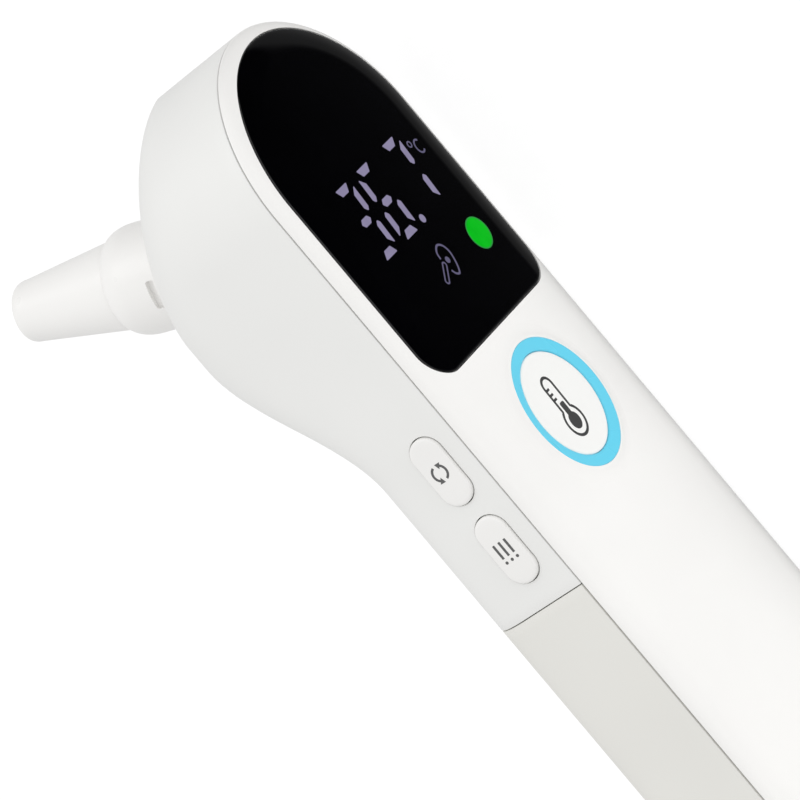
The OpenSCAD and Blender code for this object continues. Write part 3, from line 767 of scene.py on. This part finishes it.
# A flat mark is drawn as (u, v) points with u to the right and v up, seen from outside; its depth
# goes inwards from the surface that it lies on.
FACE = Matrix(((0, 1, 0, 0), (0, 0, 1, 0), (-1, 0, 0, 0), (0, 0, 0, 1)))
MARK_FRONT, MARK_BACK = -0.012, 0.05
SIDE_MARK = (-0.012, 0.1)


def side_plane(x, y, z):
    return Matrix(((1, 0, 0, x), (0, 1, 0, y), (0, 0, -1, z), (0, 0, 0, 1)))


def plate(points, h0=MARK_FRONT, h1=MARK_BACK):
    return rings_mesh([[(u, v, h) for u, v in points] for h in (h0, h1)])


def circle(u, v, r, steps=40):
    return [(u + r * math.cos(a), v + r * math.sin(a)) for a in around(steps)]


def ribbon(path, width, h0=MARK_FRONT, h1=MARK_BACK, closed=False):
    """A line of even width along a path of (u, v) points."""
    pts = [np.array(p, float) for p in path]
    n = len(pts)
    rings = []
    for i, p in enumerate(pts):
        before = pts[i - 1] if closed or i else p
        after = pts[(i + 1) % n] if closed or i < n - 1 else p
        d = (after - before) / np.linalg.norm(after - before)
        side = np.array((-d[1], d[0])) * width / 2
        a, b = p + side, p - side
        rings.append([(*a, h0), (*a, h1), (*b, h1), (*b, h0)])
    if not closed:
        return rings_mesh(rings)
    verts, faces = rings_mesh(rings, (False, False))
    last = (n - 1) * 4
    faces += [(last + i, last + (i + 1) % 4, (i + 1) % 4, i) for i in range(4)]
    return verts, faces


DIGIT_BASE = 30.3
DIGIT_SLANT = 0.094
TOP_BAR = [(-1.5, 4.76), (1.5, 4.76), (0.8, 3.74), (-0.8, 3.74)]
MIDDLE_BAR = [(-1.2, 0), (-0.7, 0.5), (0.7, 0.5), (1.2, 0), (0.7, -0.5), (-0.7, -0.5)]
UPPER_BAR = [(1.3, 1.2), (1.74, 0.76), (1.94, 0.76), (2.3, 1.12), (2.3, 3.8), (2.14, 3.8),
             (1.3, 3.02)]


def turned(points, across, up):
    return [(u * across, v * up) for u, v in points]


SEGMENTS = {
    "top": TOP_BAR,
    "middle": MIDDLE_BAR,
    "bottom": turned(TOP_BAR, 1, -1),
    "upper_right": UPPER_BAR,
    "lower_right": turned(UPPER_BAR, 1, -1),
    "upper_left": turned(UPPER_BAR, -1, 1),
    "lower_left": turned(UPPER_BAR, -1, -1),
}
THREE = ("top", "upper_right", "middle", "lower_right", "bottom")
SIX = ("top", "upper_left", "middle", "lower_left", "lower_right", "bottom")
SEVEN = ("top", "upper_right", "lower_right")


def reading():
    parts = []
    for centre, lit in ((-7.15, THREE), (-1.1, SIX), (6.5, SEVEN)):
        for key in lit:
            points = [(centre + u + DIGIT_SLANT * v, DIGIT_BASE + v) for u, v in SEGMENTS[key]]
            parts.append(plate(rounded(points, [0.12] * len(points), 3)))
    parts.append(plate(circle(2.25, 26.05, 0.54)))
    return moved(joined(parts), FACE)


def degree_sign():
    parts = [ribbon(circle(10.2, 33.0, 0.36, 28), 0.2, closed=True)]
    arc = [(11.6 + 0.72 * math.cos(a), 32.1 + 0.85 * math.sin(a))
           for a in np.linspace(math.radians(48), math.radians(312), 24)]
    parts.append(ribbon(arc, 0.25))
    return moved(joined(parts), FACE)


def ear_sign():
    outer = curve_through([(-0.35, 21.35), (-0.1, 22.2), (0.85, 22.75), (1.75, 22.3), (2.1, 21.3),
                           (1.85, 20.2), (1.4, 19.3), (0.85, 18.75), (0.25, 19.0), (-0.1, 19.6)], 6)
    parts = [ribbon(outer, 0.28), plate(circle(0.7, 20.75, 0.42))]
    lean = Matrix.Translation((-1.35, 19.85, 0)) @ Matrix.Rotation(math.radians(41), 4, "Z")
    parts.append(moved(ribbon(stadium(2.9, 0.66, 12), 0.22, closed=True), lean))
    return moved(joined(parts), FACE)


LIGHT_X, _, LIGHT_Z = middle(light_low, light_high)
LIGHT_PLACE = Matrix.Translation((LIGHT_X, 0, LIGHT_Z)) @ ALONG_Y
LIGHT_DOME = [(0, -0.014), (1.2, -0.013), (1.75, -0.008), (1.95, 0.0), (1.95, 0.08), (0, 0.08)]
LIGHT_RIM = [(1.95, -0.008), (2.02, -0.012), (2.12, -0.006), (2.12, 0.08), (1.95, 0.08)]
LENS_BLACK = lens_material("smoked_lens")
DIGIT_GLOW = glowing("digit_glow", srgb(142, 135, 166), 1.0)
SIGN_GLOW = glowing("sign_glow", srgb(98, 94, 122), 1.0)
GREEN_GLOW = glowing("green_glow", srgb(0, 190, 26), 1.0)
GREEN_RIM = glowing("green_rim", srgb(46, 150, 66), 1.0)

piece("display_lens_skin", lens(), LENS_BLACK, nodes=["display_lens"], angle=50)
piece("reading_36_7", reading(), DIGIT_GLOW)
piece("degree_sign", degree_sign(), SIGN_GLOW)
piece("ear_sign", ear_sign(), SIGN_GLOW)
for name, profile, glow in (("lens", LIGHT_DOME, GREEN_GLOW), ("rim", LIGHT_RIM, GREEN_RIM)):
    piece(f"status_light_{name}", moved(lathe_mesh(profile, 64), LIGHT_PLACE), glow)

# The measure button in its light ring

RING_BACK = 4.6
RING_INNER = 6.8


def light_ring():
    profile = [(RING_INNER, 2.2), (RING_INNER, -0.14), (RING_INNER + 0.02, -0.2),
               (RING_INNER + 0.07, -0.24),
               (7.1, -0.28), (7.5, -0.34), (7.9, -0.4), (8.2, -0.44), (8.3, -0.45),
               (8.36, -0.44), (RING_R, -0.4), (RING_R, WALL + 0.05),
               (RING_R + 0.85, WALL + 0.05), (RING_R + 0.85, WALL + 0.7),
               (RING_R - 0.55, WALL + 0.7), (RING_R - 0.55, RING_BACK),
               (BUTTON_R + 0.45, RING_BACK), (BUTTON_R + 0.45, 2.4)]
    return moved(lathe_mesh(profile, 160), ALONG_Y)


def measure_button():
    r = RING_INNER - 0.06
    profile = [(0, -0.1), (4.4, -0.105), (5.2, -0.12), (5.8, -0.15), (6.3, -0.17), (6.5, -0.165),
               (6.62, -0.14), (6.7, -0.09), (r, -0.02), (r, 3.55), (r - 0.8, 3.55), (r - 0.8, 1.35),
               (1.4, 1.35), (1.4, 4.2), (0, 4.2)]
    return moved(lathe_mesh(profile, 160), ALONG_Y)


def thermometer_sign():
    """A small thermometer with a scale beside its stem."""
    front, back = -0.118, 0.02
    stem, bulb, low, high = 1.05, 1.9, -2.25, 2.65
    turn = math.asin(stem / bulb)
    path = [(stem * math.cos(a), high + stem * math.sin(a)) for a in np.linspace(0, math.pi, 18)]
    path += [(bulb * math.sin(a), low + bulb * math.cos(a))
             for a in np.linspace(-turn, -(2 * math.pi - turn), 44)]
    parts = [ribbon(path, 0.38, front, back, True)]
    # The bulb and its column are one outline, so that no two faces lie in the same place.
    ball, column, top = 1.1, 0.5, 0.35
    neck = math.asin(column / ball)
    fluid = [(ball * math.sin(a), low + ball * math.cos(a))
             for a in np.linspace(neck, 2 * math.pi - neck, 44)]
    fluid += [(-column, top - 0.2), (-column + 0.06, top - 0.06), (-column + 0.2, top),
              (column - 0.2, top), (column - 0.06, top - 0.06), (column, top - 0.2)]
    parts.append(plate(fluid, front, back))
    for v in (2.35, 1.65, 0.98):
        parts.append(ribbon([(-stem + 0.1, v), (-0.25, v)], 0.3, front - 0.008, back))
    # The sign leans by a hair, as printed.
    lean = Matrix(((1, 0.03, 0, -0.47), (0, 1, 0, 0), (0, 0, 1, 0), (0, 0, 0, 1)))
    parts = [moved(part, lean) for part in parts]
    return moved(joined(parts), FACE)


def ring_bezel():
    """The front shell rises to the ring's rim all round it."""
    edge = RING_R + 0.02
    profile = [(edge, 0.6), (edge, -0.41), (edge + 0.03, -0.45), (edge + 0.1, -0.465),
               (edge + 0.22, -0.45), (8.9, -0.32), (9.3, -0.17), (9.7, -0.07), (10.1, -0.018),
               (10.5, 0.004), (10.5, 0.6)]
    return moved(lathe_mesh(profile, 160), ALONG_Y)


piece("ring_bezel", ring_bezel(), FRONT_WHITE, angle=40)
piece("button_light_ring_skin", light_ring(), RING_BLUE, nodes=["button_light_ring"],
      angle=40)
piece("measure_button_skin", measure_button(), BUTTON_WHITE, "measure_button",
      nodes=["measure_button"], angle=40)
piece("thermometer_sign", thermometer_sign(), INK, "measure_button")

# The two buttons on the side

SIDE_TOP = HALF_W + 0.5


def side_button(low, high):
    x, y, _ = middle(low, high)
    flange = HALF_W - WALL - 0.27
    steps = [(-0.45, flange - 0.6), (-0.45, flange - 0.05), (-0.4, flange), (0.0, flange),
             (0.0, SIDE_TOP - 0.3), (0.03, SIDE_TOP - 0.2), (0.08, SIDE_TOP - 0.13),
             (0.16, SIDE_TOP - 0.08), (0.28, SIDE_TOP - 0.045), (0.45, SIDE_TOP - 0.025),
             (0.8, SIDE_TOP - 0.008), (1.3, SIDE_TOP)]
    return rings_mesh([[(x + u, y + v, z) for u, v in stadium(SIDE_BUTTON_LENGTH - 2 * i,
                                                              SIDE_BUTTON_WIDTH - 2 * i, 28)]
                       for i, z in steps])


def mode_sign(place):
    """Two arrows going round."""
    parts = []
    for start in (20, 200):
        arc = [(0.95 * math.cos(math.radians(a)), 0.95 * math.sin(math.radians(a)))
               for a in np.linspace(start, start + 125, 20)]
        parts.append(ribbon(arc, 0.3, *SIDE_MARK))
        end = math.radians(start + 122)
        tip = [(0.42, 0.0), (-0.42, 0.0), (0.0, 0.62)]
        parts.append(plate([((0.95 + a) * math.cos(end) - b * math.sin(end),
                             (0.95 + a) * math.sin(end) + b * math.cos(end)) for a, b in tip],
                           -0.02, 0.1))
    return moved(joined(parts), place)


def memory_sign(place):
    """Three lines of a list with a dot before each."""
    parts = []
    for v in (-0.85, 0.0, 0.85):
        parts.append(ribbon([(-0.65, v), (1.25, v)], 0.32, *SIDE_MARK))
        parts.append(plate(circle(-1.2, v, 0.2, 20), *SIDE_MARK))
    return moved(joined(parts), place)


for name, low, high, sign in (("mode", mode_low, mode_high, mode_sign),
                              ("memory", memory_low, memory_high, memory_sign)):
    piece(f"{name}_button_skin", side_button(low, high), SIDE_WHITE, f"{name}_button",
          nodes=[f"{name}_button"], angle=40)
    spot = side_plane(*middle(low, high)[:2], SIDE_TOP)
    piece(f"{name}_sign", sign(spot), PALE_INK, f"{name}_button")

# The probe

NOZZLE_END = 24.9
NOZZLE_BASE_R = 5.35
NOZZLE_TIP_R = 3.7
TIP_FACE_R = 3.05
TIP_ROUND = 1.3
COLLAR_FRONT = 10.9
COLLAR_ROUND = 8.0


def probe_collar():
    r_front = NOZZLE_BASE_R - 0.03
    profile = [(4.62, -4.1), (8.1, -4.1), (8.1, -2.9), (COLLAR_R, -2.9)]
    profile += [(COLLAR_R, h) for h in np.linspace(-2, COLLAR_ROUND, 8)]
    for a in np.radians(np.arange(8, 91, 6.85)):
        profile.append((r_front + (COLLAR_R - r_front) * math.cos(a),
                        COLLAR_ROUND + (COLLAR_FRONT - COLLAR_ROUND) * math.sin(a) ** 1.1))
    profile.append((4.62, COLLAR_FRONT))
    ob = mesh_object("probe_collar_skin", moved(lathe_mesh(profile, 160), ALONG_PROBE))
    angle = math.radians(-94)
    slot = rounded([(-1.8, 3.6), (1.8, 3.6), (1.8, 4.65), (-1.8, 4.65)], [0.3] * 4, 5)
    c, s = math.cos(angle), math.sin(angle)
    tool = [[(r * c - u * s, r * s + u * c, h) for u, h in slot]
            for r in (COLLAR_R - 0.75, COLLAR_R + 2)]
    cut(ob, moved(rings_mesh(tool), ALONG_PROBE))
    return ob


def probe_nozzle():
    shoulder = NOZZLE_END - TIP_ROUND
    waist = COLLAR_FRONT + 0.012
    profile = [(3.9, -3.9), (4.5, -3.9), (4.5, waist), (NOZZLE_BASE_R - 0.06, waist),
               (NOZZLE_BASE_R - 0.015, waist + 0.04), (NOZZLE_BASE_R, waist + 0.12)]
    for t in np.linspace(0.08, 1, 12):
        profile.append((mix(NOZZLE_BASE_R, NOZZLE_TIP_R, t), mix(waist + 0.12, shoulder, t)))
    for a in np.radians(np.arange(10, 91, 8)):
        profile.append((NOZZLE_TIP_R - (NOZZLE_TIP_R - TIP_FACE_R) * (1 - math.cos(a)),
                        shoulder + TIP_ROUND * math.sin(a)))
    profile += [(2.8, NOZZLE_END - 0.02), (2.7, NOZZLE_END - 0.1), (2.66, NOZZLE_END - 0.3),
                (2.66, NOZZLE_END - 0.88), (2.88, NOZZLE_END - 0.88), (2.88, 4.6), (3.9, 4.6)]
    return moved(lathe_mesh(profile, 144), ALONG_PROBE)


settle(probe_collar(), PROBE_WHITE, nodes=["probe_collar"], angle=40)
piece("probe_nozzle_skin", probe_nozzle(), PROBE_WHITE, nodes=["probe_nozzle"],
      angle=40)

# Inside the handle

CELL_Y = 10.7
CELL_R = 5.22
BAND_LENGTH = 13
LEAD_Z = 5.6


def cell_parts(node, nub_towards_head):
    """The printed jacket of a cell, and its bare metal ends."""
    low, high = local_box(node)
    length = high.x - low.x - 0.05
    side = 1 if nub_towards_head else -1
    start = low.x if nub_towards_head else high.x
    z = middle(low, high)[2]
    r = CELL_R
    body = length - 1.0
    jacket = [(r - 0.75, 0.28), (r - 0.7, 0.12), (r - 0.45, 0.04), (r - 0.18, 0.12),
              (r - 0.04, 0.35), (r, 0.7), (r, body - 0.7), (r - 0.04, body - 0.38),
              (r - 0.16, body - 0.16), (r - 0.4, body - 0.06), (r - 0.65, body - 0.14),
              (r - 0.75, body - 0.3)]
    ends = [(0, 0.16), (3.1, 0.16), (3.35, 0.22), (r - 0.72, 0.24), (r - 0.72, body - 0.28),
            (3.4, body - 0.28), (3.1, body - 0.2), (2.2, body - 0.18), (1.95, body - 0.1),
            (1.88, body + 0.1), (1.86, length - 0.25), (1.75, length - 0.08), (1.5, length),
            (0, length)]
    turn = Matrix(((0, 0, side, start), (0, 1, 0, CELL_Y), (1, 0, 0, z), (0, 0, 0, 1)))
    return moved(lathe_mesh(jacket, 96), turn), moved(lathe_mesh(ends, 96), turn)


def spring(node, wide_at_head):
    """A conical contact spring with closed ends."""
    low, high = local_box(node)
    wire, turns, count = 0.32, 4, 30
    x0, x1 = (high.x, low.x) if wide_at_head else (low.x, high.x)
    step = 0.36 if x1 > x0 else -0.36
    x0, x1 = x0 + step, x1 - step
    z = middle(low, high)[2]
    path = []
    for t in np.linspace(0, 1, turns * count + 1):
        eased = mix(t, smooth(t), 0.75)
        a = 2 * math.pi * turns * t
        r = mix(3.35, 2.2, t)
        path.append((mix(x0, x1, eased), CELL_Y + r * math.cos(a), z + r * math.sin(a)))
    return sweep_mesh(path, wire, 12)


def lead(z):
    """A wire from a contact's tab down to the main board."""
    path = [(-23.05, 12.5, z), (-22.6, 10.9, z), (-22.2, 9.4, z * 0.9), (-21.8, 7.9, z * 0.8),
            (-20.6, 6.4, z * 0.7), (-19, 5.5, z * 0.6), (-17, 5.1, z * 0.55), (-15.4, 5.6, z * 0.5),
            (-14.6, 7.2, z * 0.5), (-13.6, 8.4, z * 0.5), (-12, 8.0, z * 0.5)]
    return sweep_mesh(curve_through(path, 8), 0.5, 16)


def jacket_material(name, body_color, band_color, edge, towards_head):
    """A cell's foil jacket: two plain bands of colour, satin, with drawn lines along it."""
    mat, nodes, bsdf = base_material(name)
    at = ORIGIN.x + edge * MM
    soft = 0.00005
    mask = ramp(nodes, place_of(nodes)["X"], 0.0, 1.0, (at - soft, at + soft))
    colors = (body_color, band_color) if towards_head else (band_color, body_color)
    lines = noise(nodes, 900, 3.0, 0.6, (0.05, 1, 1))
    fill(bsdf, Metallic=0.55, Base_Color=tint(nodes, mask, *colors, (0.4, 0.6)),
         Roughness=ramp(nodes, lines, 0.24, 0.4), Normal=bump(nodes, [(lines, 0.000006, 0.4)]))
    return mat


STEEL = metal("bright_steel", (0.62, 0.62, 0.63, 1))
NICKEL = metal("nickel", (0.66, 0.63, 0.57, 1), 0.24)
GOLD = metal("gilt_brass", (0.83, 0.6, 0.28, 1), 0.2)
ALUMINIUM = metal("turned_aluminium", (0.72, 0.73, 0.74, 1), 0.32, (1, 0.05, 1))
SWITCH_BLACK = moulded("switch_black_plastic", srgb(34, 34, 36), 0.42)
SWITCH_STEM = moulded("switch_stem_plastic", srgb(132, 82, 56), 0.4)
BOARD = circuit_board("circuit_board_green", srgb(22, 92, 56))
CHIP = moulded("chip_epoxy", srgb(38, 38, 40), 0.56, grain=3600, grain_depth=0.00001)
CERAMIC = moulded("ceramic_tan", srgb(178, 146, 110), 0.36)
TRAY = moulded("tray_grey_plastic", srgb(206, 206, 203), 0.46, grain=1800)
RUBBER = moulded("seal_rubber", srgb(30, 30, 32), 0.62, grain=1500, grain_depth=0.00001)

for names, material in (
    ("lens_tape", moulded("foam_tape", srgb(52, 52, 54), 0.9, grain=900, grain_depth=0.00005)),
    ("display_module", moulded("display_glass", srgb(24, 27, 32), 0.16)),
    ("status_light", moulded("light_pipe", srgb(150, 226, 160), 0.2)),
    ("ring_leds", moulded("led_phosphor", srgb(244, 222, 118), 0.34)),
    ("measure_switch mode_switch memory_switch buzzer", SWITCH_BLACK),
    ("measure_switch_stem mode_switch_stem memory_switch_stem", SWITCH_STEM),
    ("side_switch_board main_board sensor_board", BOARD),
    ("microcontroller small_chips", CHIP),
    ("board_passives", CERAMIC),
    ("crystal sensor_can positive_contact negative_contact bridge_contact", NICKEL),
    ("probe_window", moulded("infrared_window", srgb(46, 42, 50), 0.12)),
    ("waveguide sensor_pins", GOLD),
    ("sensor_holder", ALUMINIUM),
    ("sensor_o_ring", RUBBER),
    ("sensor_flex", moulded("flex_amber", srgb(202, 138, 52), 0.3)),
    ("battery_tray", TRAY),
    ("board_screws tray_screws housing_screws", STEEL),
):
    for node in names.split():
        ob = bpy.data.objects[node]
        if not ob.data.materials:
            ob.data.materials.append(material)
        for slot in ob.material_slots:
            slot.material = material

for node, nub_towards_head in (("battery_1", True), ("battery_2", False)):
    jacket, ends = cell_parts(node, nub_towards_head)
    low, high = local_box(node)
    edge = high.x - BAND_LENGTH if nub_towards_head else low.x + BAND_LENGTH
    foil = jacket_material(f"{node}_foil", srgb(62, 112, 104), srgb(196, 198, 200), edge,
                           nub_towards_head)
    piece(f"{node}_jacket", jacket, foil, nodes=[node], angle=40)
    piece(f"{node}_ends", ends, NICKEL, angle=40)

for node, wide_at_head in (("tail_spring", False), ("head_spring", True)):
    piece(f"{node}_coil", spring(node, wide_at_head), STEEL, nodes=[node],
          angle=60)

for node, z, color, slot in (("red_lead", LEAD_Z, srgb(190, 34, 30), "lead_red"),
                             ("black_lead", -LEAD_Z, srgb(28, 28, 30), "lead_black")):
    piece(f"{node}_wire", lead(z), moulded(f"{node}_sleeve", color, 0.38, grain=1500),
          nodes=[node], angle=60)

# Stage

FLOOR_REACH = 6.0


def make_stage():
    centre = (cad_low + cad_high) / 2

    def floor(name, z, low, high, glow, front_glow=None):
        mesh = bpy.data.meshes.new(name)
        mesh.from_pydata([(centre.x + x * FLOOR_REACH, centre.y + y * FLOOR_REACH, z)
                          for x, y in ((-1, -1), (1, -1), (1, 1), (-1, 1))], [], [(0, 1, 2, 3)])
        ob = bpy.data.objects.new(name, mesh)
        bpy.context.collection.objects.link(ob)
        mat, nodes, bsdf = base_material(name + "_paper")
        fibre = noise(nodes, 300, 4.0, 0.6)
        fill(bsdf, Roughness=0.9, Specular_IOR_Level=0.0, Emission_Color=(1, 1, 1, 1),
             Emission_Strength=glow,
             Base_Color=tint(nodes, fibre, (low, low, low, 1), (high, high, high, 1)))
        if front_glow is not None:
            where = place_of(nodes)
            nearest = ramp(nodes, where["X"], front_glow, glow, (0.05, 0.1), "SMOOTHSTEP")
            fill(bsdf, Emission_Strength=ramp(nodes, where["Y"], glow, nearest,
                                              (ORIGIN.y, ORIGIN.y - 0.015), "SMOOTHSTEP"))
        mesh.materials.append(mat)
        ob.visible_glossy = False
        ob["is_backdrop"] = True
        return ob

    # One sheet of paper is what the camera sees; a second, just under it, is what lights the
    # object from below, so that the undersides can be darker than the backdrop. The second is
    # brighter in front of the display face, and fades out past the head.
    seen = floor("floor", 0.0, 0.2, 0.22, 0.86)
    seen.visible_diffuse = False
    seen.visible_shadow = False
    bounce = floor("floor_bounce", -0.0004, 0.5, 0.52, 0.12, 0.92)
    bounce.visible_camera = False

    def area(name, at, aim, size, power):
        data = bpy.data.lights.new(name, "AREA")
        data.shape = "RECTANGLE"
        data.size, data.size_y = size
        data.energy = power
        lamp = bpy.data.objects.new(name, data)
        lamp.location = at
        lamp.rotation_mode = "QUATERNION"
        lamp.rotation_quaternion = (Vector(aim) - Vector(at)).to_track_quat("-Z", "Y")
        bpy.context.collection.objects.link(lamp)
        return lamp

    aim = (0, 0, 0.02)
    softbox = area("front_softbox", (0.05, -1.1, 0.16), aim, (1.1, 0.3), 1.0)
    softbox.visible_glossy = False
    area("head_softbox", (0.9, 0.3, 0.7), aim, (0.6, 0.6), 1.3)

    world = bpy.data.worlds.new("studio")
    bpy.context.scene.world = world
    world.use_nodes = True
    nodes = world.node_tree.nodes
    where = place_of(nodes, "Generated")

    def band(axis, a, b, low, high):
        return ramp(nodes, where[axis], low, high, (a, b), "SMOOTHSTEP")

    def math_node(operation, a, b):
        node = nodes.new("ShaderNodeMath")
        node.operation = operation
        put(node.inputs[0], a)
        put(node.inputs[1], b)
        return node.outputs["Value"]

    # The upper half of the room is a bright tent. Low down the lens mirrors it, so that half is
    # nearly black, with a soft glow that only the lens's curved right-hand edge can see.
    above = band("Z", -0.15, 0.1, 0.0, 1.0)
    above = math_node("MULTIPLY", above, band("X", -0.9, 0.1, 0.72, 1.0))
    tail_side = band("X", -0.12, -0.5, 0.0, 0.2)
    glow = math_node("ADD", band("Y", -0.545, -0.48, 0.0, 0.12),
                     band("Y", -0.5, 0.0, 0.0, 0.11))
    glow = math_node("MULTIPLY", glow, band("Z", -0.74, -0.81, 0.0, 1.0))
    glow = math_node("MULTIPLY", glow, band("Y", 0.0, 0.35, 1.0, 0.3))
    # Paper curving up behind the object, seen in its far edges only.
    behind = band("Y", 0.05, 0.4, 0.0, 0.8)
    level = math_node("MAXIMUM", math_node("MAXIMUM", above, tail_side), glow)
    level = math_node("MAXIMUM", level, behind)
    fill(nodes["Background"], Color=(1, 1, 1, 1), Strength=math_node("ADD", level, 0.004))


# The camera's place in millimetres about the measure button, and its turn as an axis whose
# length is the angle.
CAMERA_AT = Vector((79.659, -449.415, 709.949))
CAMERA_TURN = Vector((-0.21589, -0.692617, 2.16908))
SENSOR_WIDTH, FOCAL_LENGTH = 36.0, 337.7


def make_camera():
    data = bpy.data.cameras.new("camera")
    camera = bpy.data.objects.new("camera", data)
    bpy.context.collection.objects.link(camera)
    data.sensor_width = SENSOR_WIDTH
    data.lens = FOCAL_LENGTH
    data.clip_start, data.clip_end = 0.05, 20
    camera.location = ORIGIN + CAMERA_AT * MM
    camera.rotation_mode = "QUATERNION"
    camera.rotation_quaternion = Quaternion(CAMERA_TURN.normalized(),
                                            CAMERA_TURN.length).conjugated()
    bpy.context.scene.camera = camera


make_stage()
make_camera()
scene = bpy.context.scene
scene.view_settings.view_transform = "Standard"

low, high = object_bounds()
